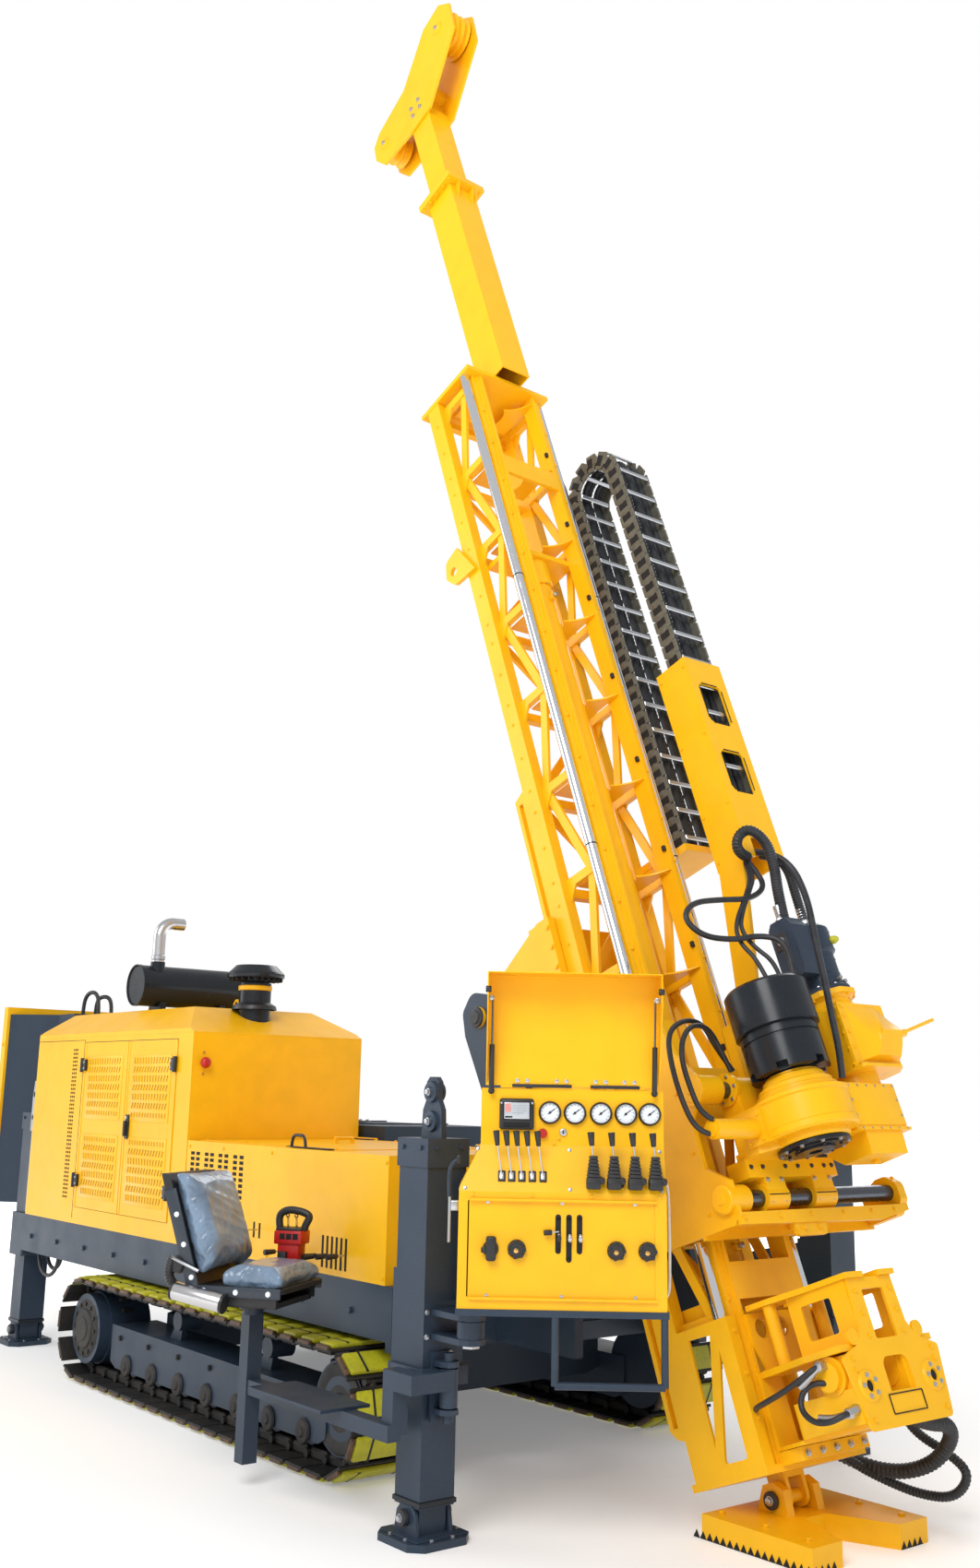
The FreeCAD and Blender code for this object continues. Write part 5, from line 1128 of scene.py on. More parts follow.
class RIG_OT_head(RigOperator):
    """Bolts, grooves and fittings of the drilling head, its spindle and its carriage"""

    bl_idname = "rig.head"
    bl_label = "Drilling head"

    DRIVE = 0.420

    def casting(self, h):
        h.bolts([(n, 0.48, 1.640) for n in (0.47, 0.53)], (0, 0, 1), "zinc", 0.012)
        for y in (0.19, 0.25, 0.31, 0.37, 0.43, 0.488):
            h.bolt((0.560, y, 1.628), (1, 0, 0), "zinc", 0.010)
            h.bolt((0.568, y, 1.443), (1, 0, 0), "zinc", 0.008, False)
        h.bolts([(0.560, y, s) for s in (1.50, 1.565) for y in (0.185, 0.488)], (1, 0, 0), "zinc", 0.010)
        h.block((0.5595, 0.172, 1.458), (0.5625, 0.500, 1.634), "yellow", 0.0012)
        for s in (1.730, 1.80, 1.87, 1.94, 1.985):
            h.bolt((0.564, 0.318, s), (1, 0, 0), "yellow", 0.012)
            h.bolt((0.550, 0.299, s), (0, -1, 0), "yellow", 0.011)
        h.bolts([(SPINDLE_OUT + u, self.DRIVE + v, 2.060) for u, v in circle(8, 0.108)], (0, 0, -1),
                "yellow", 0.016)
        h.bolts([(n, -0.219, s) for s in (1.464, 1.562) for n in (0.312, 0.388)], (0, -1, 0), "yellow",
                0.014)
        h.bolts([(0.255, y, 1.388) for y in (-0.19, -0.12, 0.02, 0.10, 0.19, 0.27, 0.32)], (1, 0, 0),
                "casting", 0.014)
        for y, wide in ((-0.135, 0.130), (0.160, 0.140)):
            for dy in (0.022, wide - 0.022):
                h.bolt((0.256, y + dy, 1.335), (1, 0, 0), "zinc", 0.014)
                h.bolt((0.246, y + dy, 1.250), (1, 0, 0), "zinc", 0.012)
            h.block((0.205, y + 0.004, 1.272), (0.2602, y + wide - 0.004, 1.276), "gap", 0)
        h.bolts([(0.202 + u, -0.150, 1.731 + v) for u, v in circle(6, 0.056)], (0, -1, 0), "zinc", 0.012)
        h.drum((0.500, 0.505, 1.60), (0.500, 0.520, 1.60), 0.016, "zinc", 6, 0.001)
        h.drum((0.46, 0.35, 1.342), (0.46, 0.35, 1.328), 0.018, "yellow", 6, 0.001)

    def motor(self, h):
        n0, y0 = SPINDLE_OUT, self.DRIVE
        h.bolts([(n0 + u, y0 + v, 2.106) for u, v in circle(8, 0.099, 0.5)], (0, 0, 1), "zinc", 0.014)
        for s, inner, outer in ((2.17, 0.0855, 0.089), (2.24, 0.0855, 0.089), (2.285, 0.0985, 0.102),
                                (2.37, 0.0985, 0.102)):
            h.lathe([(inner, -0.003), (outer, 0.0), (inner, 0.003)], "slate", shift(n0, y0, s), 32)
        h.ball((n0 + 0.095, y0 + 0.050, 2.325), 0.026, "lime", (1.0, 1.0, 0.7))
        h.block((0.405, 0.228, 2.30), (0.478, 0.234, 2.38), "casting", 0.004)
        h.drum((0.442, 0.222, 2.34), (0.442, 0.232, 2.34), 0.022, "zinc", 6, 0.002)
        for n, y, base in ((0.44, 0.285, 2.438), (0.47, 0.40, 2.418)):
            h.drum((n, y, base), (n, y, base + 0.022), 0.028, "zinc", 6, 0.002)
            h.drum((n, y, base + 0.022), (n, y, base + 0.085), 0.021, "zinc", 20, 0.002)
        for n, y in ((0.53, 0.47), (0.56, 0.40)):
            h.drum((n - 0.02, y, 2.13), (n + 0.004, y, 2.13), 0.010, "zinc", 12, 0.001)

    def spindle(self):
        p = Piece("spindle_trim", MAST)
        p.bolts([(SPINDLE_OUT + u, v, 1.399) for u, v in circle(10, 0.137)], (0, 0, -1), "zinc", 0.015)
        p.bolts([(SPINDLE_OUT + u, v, 1.393) for u, v in circle(6, 0.108, 0.5)], (0, 0, -1), "black", 0.012)
        for u, v in circle(12, 0.140):
            p.drum((SPINDLE_OUT + u, v, 2.094), (SPINDLE_OUT + u, v, 2.098), 0.009, "zinc", 12, 0.001)
        p.done("spindle")

    def carriage(self):
        c = Piece("carriage_trim", MAST)
        c.bolts([(0.250, y, 1.190) for y in (-0.31, -0.10, 0.10, 0.31, 0.50, 0.66)], (1, 0, 0), "yellow",
                0.014)
        c.bolts([(0.243, y, 1.138) for y in (0.035, 0.135)], (1, 0, 0), "yellow", 0.018)
        c.lathe([(0, 0.010), (0.018, 0.010), (0.022, 0.004), (0.052, 0.003), (0.056, 0.0)], "yellow",
                shift(0.202, -0.359, 1.731) @ turn("X", 90), 28)
        c.lathe([(0, 0.012), (0.018, 0.012), (0.022, 0.005), (0.050, 0.004), (0.055, 0.0)], "yellow",
                shift(0.202, -0.355, 1.275) @ turn("X", 90), 28)
        for n, s in ((0.10, 1.25), (0.10, 1.50), (0.10, 1.75), (0.02, 2.0), (0.0, 2.15), (-0.12, 1.3),
                     (-0.12, 1.6)):
            for side in (-1, 1):
                c.bolt((n, side * 0.335, s), (0, side, 0), "yellow", 0.016)
        c.bolt((0.202, 0.765, 1.275), (0, 1, 0), "zinc", 0.026)
        c.bolts([(0.232, 0.740, s) for s in (1.20, 1.33)], (1, 0, 0), "yellow", 0.014)
        c.done("carriage")

    def execute(self, context):
        h = Piece("head_trim", MAST)
        self.casting(h)
        self.motor(h)
        h.done("head")
        self.spindle()
        self.carriage()
        return {"FINISHED"}


class RIG_OT_foot_clamp(RigOperator):
    """Round flanges, bolts and elbows of the foot clamp, and the teeth of the foot"""

    bl_idname = "rig.foot_clamp"
    bl_label = "Foot clamp"

    TOE = 3.0205
    SIDES = (-0.3455, 0.3455)
    TOES = (-0.345, 0.175)
    # the flange's first bolt stands half a radian round
    FIRST_BOLT = 0.5 * 5 / math.tau

    def execute(self, context):
        c = Piece("clamp_trim", MAST)
        face = 0.500
        for side in (-1, 1):
            centre = shift(face, side * 0.195, 0.500) @ turn("Y", 90)
            c.lathe([(0.0, -0.002), (0.020, -0.002), (0.022, 0.010), (0.050, 0.010), (0.055, 0.006),
                     (0.058, 0.0)],
                    "yellow", centre, 32)
            # dark disc: painted shade in the flange's bore
            c.drum((face - 0.001, side * 0.195, 0.500), (face + 0.003, side * 0.195, 0.500), 0.019, "gap",
                   20, 0)
            ring = [(face + 0.010, side * 0.195 + u, 0.500 + v) for u,
                    v in circle(5, 0.038, self.FIRST_BOLT)]
            c.bolts(ring, (1, 0, 0), "zinc", 0.013)
            c.bolts([(face, side * 0.24, s) for s in (0.56, 0.60)], (1, 0, 0), "yellow", 0.014)
            c.bolts([(face, side * 0.105, s) for s in (0.67, 0.75, 0.83)], (1, 0, 0), "yellow", 0.013)
            c.bolt((face, side * 0.22, 0.385), (1, 0, 0), "yellow", 0.014)
            c.block((face - 0.001, side * 0.10 - 0.002, 0.395), (face + 0.0035, side * 0.10 + 0.002, 0.460),
                    "gap", 0.0005)
        for s in (0.393, 0.460):
            c.block((face - 0.001, -0.10, s - 0.002), (face + 0.0035, 0.10, s + 0.002), "gap", 0.0005)
        for line in ([(0.40, -0.285, 0.60), (0.40, -0.325, 0.60), (0.36, -0.340, 0.57),
                      (0.31, -0.341, 0.55)],
                     [(0.47, -0.255, 0.435), (0.46, -0.310, 0.425), (0.40, -0.325, 0.42),
                      (0.35, -0.336, 0.436)]):
            c.tube(line, 0.0135, "zinc", 14)
            c.drum(line[0], line[1], 0.020, "zinc", 6, 0.002)
        c.done("mast")
        f = Piece("foot_trim", MACHINE)
        # dark triangles: painted shade in the notches between the foot's teeth
        notch = Piece("notch")
        notch.plate([(-0.0165, 0), (0.0165, 0), (0, 0.028)], -0.0012, 0.0012, "gap", 0)
        f.copies(notch, [shift(self.TOE - 0.018 - 0.034 * i, y, 0.001) @ turn("X", 90)
                         for i in range(17) for y in self.SIDES])
        f.copies(notch, [shift(self.TOE, y + 0.017 + 0.034 * i, 0.001) @ turn("Z", 90) @ turn("X", 90)
                         for i in range(4) for y in self.TOES])
        for side in (-1, 1):
            f.drum((2.64, side * 0.112, 0.135), (2.64, side * 0.128, 0.135), 0.034, "casting", 24)
            f.bolt((2.64, side * 0.128, 0.135), (0, side, 0), "zinc", 0.026)
            f.bolts([(x, side * 0.28, 0.090) for x in (2.53, 2.75, 2.95)], (0, 0, 1), "yellow", 0.022)
        f.done("foot")
        return {"FINISHED"}


def facing(x, z, lean=0.0):
    """Place on a console panel that leans back: X across, Y up the panel, Z out towards the operator."""
    s, c = math.sin(math.radians(lean)), math.cos(math.radians(lean))
    return Matrix(((0, -s, c, x), (1, 0, 0, 0), (0, c, s, z), (0, 0, 0, 1)))


class RIG_OT_console(RigOperator):
    """Screen, gauges, levers, joysticks and knobs of the console"""

    bl_idname = "rig.console"
    bl_label = "Console"

    PANEL = facing(0.1205, 1.469, 5.2)
    DESK = facing(0.193, 1.303, 23.7)
    DOOR = facing(0.189, 0.928)

    def screen(self, c):
        c.block((0.093, 0.056, -0.002), (0.224, 0.172, 0.022), "plastic", 0.012, self.PANEL, 3)
        c.block((0.106, 0.090, 0.019), (0.211, 0.160, 0.0225), "gap", 0.002, self.PANEL)
        c.block((0.111, 0.095, 0.022), (0.206, 0.156, 0.0235), "screen", 0.001, self.PANEL)
        for i, wide in enumerate((0.060, 0.052, 0.060, 0.046)):
            v = 0.143 - 0.009 * i
            c.block((0.142, v, 0.0234), (0.142 + wide, v + 0.0022, 0.0240), "zinc", 0, self.PANEL)
        c.block((0.114, 0.120, 0.0234), (0.136, 0.152, 0.0240), "rose", 0, self.PANEL)
        c.block((0.114, 0.099, 0.0234), (0.142, 0.105, 0.0240), "gap", 0, self.PANEL)
        c.block((0.108, 0.064, 0.019), (0.209, 0.084, 0.0228), "gap", 0.003, self.PANEL)
        for y in (0.100, 0.217):
            c.bolt((0.1205 + 0.02, y, 1.469 + 0.155), (1, 0, 0.09), "zinc", 0.007, False)

    def gauge(self, c, y):
        at = self.PANEL @ shift(y, 0.122, 0)
        c.lathe([(0.0, 0.007), (0.036, 0.007)], "dial", at)
        c.lathe([(0.0350, 0.004), (0.0360, 0.016), (0.0395, 0.019), (0.0425, 0.014), (0.0430, 0.0)],
                "plastic", at)
        for i in range(11):
            c.block((0.027, -0.0007, 0.0071), (0.033, 0.0007, 0.0077), "gap", 0,
                    at @ turn("Z", 225 - 27 * i))
        c.block((-0.010, -0.0014, 0.0085), (0.024, 0.0014, 0.0095), "gap", 0, at @ turn("Z", 38))
        c.drum((0, 0, 0.007), (0, 0, 0.011), 0.0045, "gap", 12, 0.001, place=at)

    def lever(self, c, y):
        c.block((y - 0.014, 0.038, -0.001), (y + 0.014, 0.080, 0.005), "plastic", 0.002, self.DESK)
        c.block((y - 0.007, 0.046, 0.004), (y + 0.007, 0.072, 0.0065), "stainless", 0.001, self.DESK)
        foot = self.DESK @ Vector((y, 0.059, 0.003))
        tip = foot + Vector((0.014, -0.018, 0.110))
        c.drum(foot, tip, 0.0030, "zinc", 10, 0)
        c.drum(tip, tip + Vector((0.006, -0.006, 0.055)), 0.0085, "plastic", 18, 0.004, 0.0125)

    def joystick(self, c, y):
        c.block((0.150, y - 0.026, 1.318), (0.226, y + 0.026, 1.352), "plastic", 0.006)
        c.block((0.160, y + 0.012, 1.336), (0.222, y + 0.042, 1.362), "plastic", 0.008)
        for k in range(7):
            half = 0.0255 - 0.0016 * k
            z = 1.348 + 0.013 * k
            c.block((0.198 - half, y - half, z), (0.198 + half, y + half, z + 0.0122), "plastic", 0.004)
        c.drum((0.198, y, 1.43), (0.197, y - 0.006, 1.478), 0.0034, "zinc", 10, 0)
        c.drum((0.197, y - 0.006, 1.474), (0.196, y - 0.010, 1.524), 0.0095, "plastic", 18, 0.005, 0.0135)

    def knob(self, c, y):
        at = self.DOOR @ shift(y, 0.172, 0)
        c.lathe([(0, 0.028), (0.022, 0.028), (0.027, 0.023), (0.029, 0.010), (0.033, 0.004), (0.034, 0.0)],
                "plastic", at)
        for u, v in circle(7, 0.0255):
            c.drum((u, v, 0.002), (u, v, 0.025), 0.0095, "plastic", 14, 0.003, place=at)
        c.drum((-0.003, -0.003, 0.026), (-0.003, -0.003, 0.034), 0.010, "brass", 6, 0.002, place=at)

    def door(self, c):
        d = self.DOOR
        c.lathe([(0, 0.012), (0.026, 0.012), (0.030, 0.0)], "plastic", d @ shift(0.068, 0.172, 0))
        c.block((0.050, 0.130, 0.010), (0.088, 0.218, 0.034), "plastic", 0.010, d, 3)
        c.block((0.032, 0.158, 0.012), (0.056, 0.180, 0.028), "plastic", 0.006, d)
        for y in (0.164, 0.531, 0.646):
            self.knob(c, y)
        for i, y in enumerate((0.316, 0.356, 0.395)):
            low = 0.168 - (0.030 if i == 1 else 0.0)
            # dark slot with round ends: painted shade in the lever's gate
            c.block((y - 0.0105, low, -0.001), (y + 0.0105, 0.287, 0.0015), "gap", 0.0007, d)
            c.drum((y, low, -0.001), (y, low, 0.0015), 0.0105, "gap", 20, 0, place=d)
            c.drum((y, 0.287, -0.001), (y, 0.287, 0.0015), 0.0105, "gap", 20, 0, place=d)
            c.drum((y, 0.222, 0.0), (y + 0.003, 0.226, 0.020), 0.0045, "zinc", 12, 0.001, place=d)
            c.ball((y + 0.003, 0.214, 0.022), 0.0085, "zinc" if i else "plastic", (1, 1.6, 0.7), place=d)
        c.drum((0.318, 0.237, 0.012), (0.288, 0.235, 0.020), 0.0035, "zinc", 10, 0, place=d)
        c.drum((0.292, 0.235, 0.019), (0.262, 0.233, 0.023), 0.0100, "plastic", 16, 0.005, place=d)
        c.bolts([(0.190, y, z) for y in (0.055, 0.330, 0.600) for z in (0.936, 1.266)], (1, 0, 0), "zinc",
                0.010)

    def cabinet(self, c):
        c.bolts([(0.193, y, 1.292) for y in (0.00, 0.22, 0.44, 0.69)], (1, 0, 0), "yellow", 0.010)
        desk_bolts = ((-0.030, 0.012), (0.015, 0.165), (0.36, 0.012), (0.36, 0.165), (0.700, 0.012),
                      (0.700, 0.165))
        c.bolts([self.DESK @ Vector((y, v, 0)) for y, v in desk_bolts], (0.92, 0, 0.40), "zinc", 0.010)
        c.bolts([(0.124, 0.300 + dz, 1.480 + dz) for dz in (0.0, 0.018)], (1, 0, 0.09), "yellow", 0.010)
        c.lathe([(0, 0.022), (0.0155, 0.021), (0.018, 0.014), (0.014, 0.010), (0.009, 0.008), (0.009, 0.0)],
                "red", self.PANEL @ shift(0.258, 0.044, 0))
        c.lathe([(0, 0.007), (0.008, 0.007), (0.0085, 0.010), (0.013, 0.009), (0.0145, 0.0)], "zinc",
                self.PANEL @ shift(0.336, 0.050, 0))
        # dark slit: painted shade in the switch's key slot
        c.block((0.334, 0.043, 0.007), (0.338, 0.057, 0.0085), "gap", 0, self.PANEL)
        for y, look in ((0.430, "plastic"), (0.551, "plastic"), (0.672, "zinc")):
            c.lathe([(0, 0.012), (0.008, 0.011), (0.010, 0.006), (0.0105, 0.0)], look,
                    self.DESK @ shift(y, 0.032, 0))
            c.block((y - 0.002, 0.030, 0.010), (y + 0.002, 0.052, 0.017), look, 0.001, self.DESK)
        # latch and strap on the side next to the tower
        c.block((0.060, -0.066, 1.395), (0.100, -0.053, 1.425), "plastic", 0.004)
        c.tube([(0.08, -0.060, 1.41), (0.08, -0.085, 1.40), (0.09, -0.095, 1.34), (0.085, -0.090, 1.27)],
               0.008, "slate")
        c.block((0.070, -0.094, 1.110), (0.104, -0.084, 1.275), "shell", 0.003)
        c.block((0.060, -0.084, 1.225), (0.112, -0.053, 1.262), "zinc", 0.004)
        for z in (0.96, 1.16, 1.36, 1.56):
            c.bolts([(-0.15, 0.717, z), (0.150, 0.717, min(z, 1.30))], (0, 1, 0), "yellow", 0.012)
            c.bolts([(-0.188, 0.10, z), (-0.188, 0.60, z)], (-1, 0, 0), "yellow", 0.012)

    def lid(self):
        lid = Piece("console_lid_trim", CONSOLE)
        for y in (0.043, 0.699):
            inner = 0.009 if y < 0.3 else -0.009
            lid.drum((0.236, y - 0.011, 2.045), (0.236, y + 0.011, 2.045), 0.013, "plastic", 20, 0.004)
            lid.block((0.160, min(y, y + inner * 2), 2.006), (0.190, max(y, y + inner * 2), 2.026), "zinc",
                      0.003)
            lid.bolt((0.176, y + inner * 2, 2.016), (0, 1 if inner > 0 else -1, 0), "brass", 0.011)
        for y0, y1 in ((0.140, 0.368), (0.440, 0.628)):
            lid.block((0.1035, y0, 1.683), (0.1105, y1, 1.696), "plastic", 0.002)
            for y in (y0 + 0.020, y0 + 0.058, y1 - 0.058, y1 - 0.020):
                lid.bolt((0.102, y, 1.709), (1, 0, 0), "zinc", 0.011)
        lid.done("console_lid")
        struts = Piece("console_lid_struts", CONSOLE)
        for y in (0.060, 0.682):
            top, foot = Vector((0.176, y, 2.016)), Vector((0.126, y, 1.668))
            middle = foot.lerp(top, 0.50)
            struts.drum(middle, top, 0.0040, "dark_bar", 12, 0)
            struts.drum(foot, middle, 0.0100, "plastic", 18, 0.002)
            struts.ball(foot, 0.0125, "plastic")
            struts.ball(top, 0.0080, "zinc")
        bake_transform(struts.done(None))

    def execute(self, context):
        c = Piece("console_trim", CONSOLE)
        self.screen(c)
        for y in (0.285, 0.380, 0.479, 0.574, 0.665):
            self.gauge(c, y)
        for y in (0.105, 0.142, 0.180, 0.219, 0.259):
            self.lever(c, y)
        for y in (0.445, 0.522, 0.600, 0.676):
            self.joystick(c, y)
        self.door(c)
        self.cabinet(c)
        c.done("console")
        self.lid()
        return {"FINISHED"}


class RIG_OT_seat(RigOperator):
    """Covered cushions, shell, air spring and travel control of the seat"""

    bl_idname = "rig.seat"
    bl_label = "Seat"

    VOXEL = 0.006
    CAP = 0.024
    PRESSURE, STEPS = 4.0, 20
    FILL = 0.7
    # a side outline's XY stood up: its Y becomes Z
    ON_SIDE = Matrix(((1, 0, 0, 0), (0, 0, -1, 0), (0, 1, 0, 0), (0, 0, 0, 1)))

    def baked(self, thing):
        """thing with its modifiers made part of its mesh."""
        shaped = thing.evaluated_get(bpy.context.evaluated_depsgraph_get())
        mesh = bpy.data.meshes.new_from_object(shaped)
        thing.modifiers.clear()
        thing.data = mesh
        return mesh

    def puffed(self, thing):
        """thing blown up as a filled cover, no point of it moving further than CAP."""
        remesh = thing.modifiers.new("even_net", "REMESH")
        remesh.mode = "VOXEL"
        remesh.voxel_size = self.VOXEL
        before = [v.co.copy() for v in self.baked(thing).vertices]
        cloth = thing.modifiers.new("cover", "CLOTH")
        cloth.settings.use_pressure = True
        cloth.settings.uniform_pressure_force = self.PRESSURE
        cloth.settings.effector_weights.gravity = 0
        cloth.point_cache.frame_start = 1
        cloth.point_cache.frame_end = self.STEPS
        for frame_number in range(1, self.STEPS + 1):
            bpy.context.scene.frame_set(frame_number)
        mesh = self.baked(thing)
        for vertex, old in zip(mesh.vertices, before):
            move = vertex.co - old
            if move.length > self.CAP:
                vertex.co = old + move.normalized() * self.CAP

    def wrinkled(self, thing, place, height):
        """Creases of a loose cover, running from corner to corner."""
        mesh = thing.data
        inverse = place.inverted()
        for vertex, normal in zip(mesh.vertices, [n.vector.copy() for n in mesh.vertex_normals]):
            at = inverse @ vertex.co
            fold = noise.noise((at.x * 9 + at.z * 16, at.y * 26 + at.x * 14, at.z * 9))
            ridge = 1 - 2 * abs(noise.noise((at.x * 22, at.y * 9 + at.z * 20, at.z * 7 + 5)))
            vertex.co = vertex.co + normal * height * (0.6 * fold + 0.5 * ridge)

    def cushion(self, name, node, outline, wide):
        """Cushion of that side outline, replacing the frame's plain one."""
        c = Piece(name, SEAT)
        c.plate(outline, -wide, wide, "cover", 0.012, self.ON_SIDE)
        thing = c.done("seat", [node], slot="seat_vinyl")
        self.puffed(thing)
        self.wrinkled(thing, SEAT, 0.0045)
        for poly in thing.data.polygons:
            poly.use_smooth = True
        if not thing.data.materials:
            thing.data.materials.append(finish("cover"))
        finer = thing.modifiers.new("finer", "SUBSURF")
        finer.levels = 1
        finer.render_levels = 1

    def shell(self):
        s = Piece("seat_trim", SEAT)
        back = Matrix.Translation((-0.200, 0, 0.800)) @ turn("Y", -19.1)
        for side in (-1, 1):
            s.block((-0.004, side * 0.216 - 0.006, 0.02), (0.052, side * 0.216 + 0.006, 0.44), "navy",
                    0.004, back)
            for z in (0.06, 0.20, 0.33):
                s.lathe(STUD_CAP, "dial", back @ shift(0.030, side * 0.222, z) @ turn("X", -90 * side), 20)
            s.block((-0.170, side * 0.218 - 0.006, 0.795), (0.225, side * 0.218 + 0.006, 0.838), "navy",
                    0.005)
            for x in (-0.13, 0.02, 0.17):
                s.lathe(STUD_CAP, "dial", shift(x, side * 0.224, 0.816) @ turn("X", -90 * side), 20)
        # dark discs: painted shade in the holes of the seat's back
        for y, z in ((-0.14, 0.46), (0.02, 0.44), (-0.12, 0.30), (0.06, 0.28), (0.0, 0.16), (0.14, 0.46)):
            s.drum((-0.0012, y, z), (0.004, y, z), 0.008, "gap", 14, 0, place=back)
        for y in (-0.200, 0.190):
            s.block((-0.0025, y, 0.06), (0.002, y + 0.010, 0.44), "gap", 0, back)
        # air spring with its end caps, tilt knob and recliner bar
        s.drum((-0.262, -0.238, 0.812), (-0.030, -0.238, 0.770), 0.038, "stainless", 40, 0.006)
        s.drum((-0.268, -0.238, 0.8134), (-0.260, -0.238, 0.8115), 0.040, "plastic", 40, 0.003)
        s.drum((-0.034, -0.238, 0.7707), (-0.020, -0.238, 0.7683), 0.041, "plastic", 40, 0.003)
        s.block((-0.150, -0.235, 0.770), (-0.130, -0.190, 0.800), "plastic")
        s.tube([(-0.284, -0.220, 0.945), (-0.296, -0.226, 0.915), (-0.296, -0.232, 0.860),
                (-0.268, -0.232, 0.835)],
               0.022, "plastic", 14, 0.012)
        s.drum((-0.290, -0.232, 0.945), (-0.150, -0.238, 0.895), 0.0075, "zinc", 12, 0.002)
        s.lathe([(0, 0.02), (0.030, 0.02), (0.034, 0.012), (0.040, 0.0)], "plastic",
                shift(-0.262, -0.215, 0.915) @ turn("X", 90), 28)
        s.done("seat")

    def control(self):
        t = Piece("travel_control", SEAT)
        t.block((-0.012, 0.248, 0.900), (0.092, 0.332, 0.975), "red", 0.006)
        t.block((-0.028, 0.237, 0.970), (0.108, 0.343, 1.030), "red", 0.007)
        for x in (0.002, 0.034, 0.066):
            t.block((x, 0.2355, 0.992), (x + 0.026, 0.238, 1.018), "gap", 0.001)
        t.block((0.000, 0.226, 0.815), (0.040, 0.244, 0.940), "plastic", 0.002)
        t.block((-0.022, 0.243, 1.028), (0.102, 0.337, 1.042), "plastic", 0.004)
        t.tube([(-0.020, 0.29, 1.035), (-0.035, 0.29, 1.090), (0.010, 0.29, 1.120), (0.080, 0.29, 1.115),
                (0.130, 0.29, 1.095), (0.105, 0.29, 1.055), (0.098, 0.29, 1.032)], 0.017, "plastic", 16)
        for x in (0.020, 0.062):
            t.drum((x, 0.290, 1.040), (x - 0.004, 0.290, 1.095), 0.0045, "brass", 12, 0.001)
            t.ball((x - 0.004, 0.290, 1.092), 0.010, "brass", (1, 0.8, 0.9))
        t.done("seat", ["travel_control_box"], slot="red_plastic")

    def execute(self, context):
        self.cushion("seat_cushion_cover", "seat_cushion",
                     [(-0.066, 0.842), (0.215, 0.842), (0.232, 0.856), (0.225, 0.892), (0.06, 0.897),
                      (-0.066, 0.894)],
                     0.212)
        self.cushion("seat_back_cover", "seat_back_cushion",
                     [(-0.166, 0.868), (-0.104, 0.925), (-0.172, 1.120), (-0.246, 1.292), (-0.318, 1.294)],
                     0.206)
        self.shell()
        self.control()
        return {"FINISHED"}


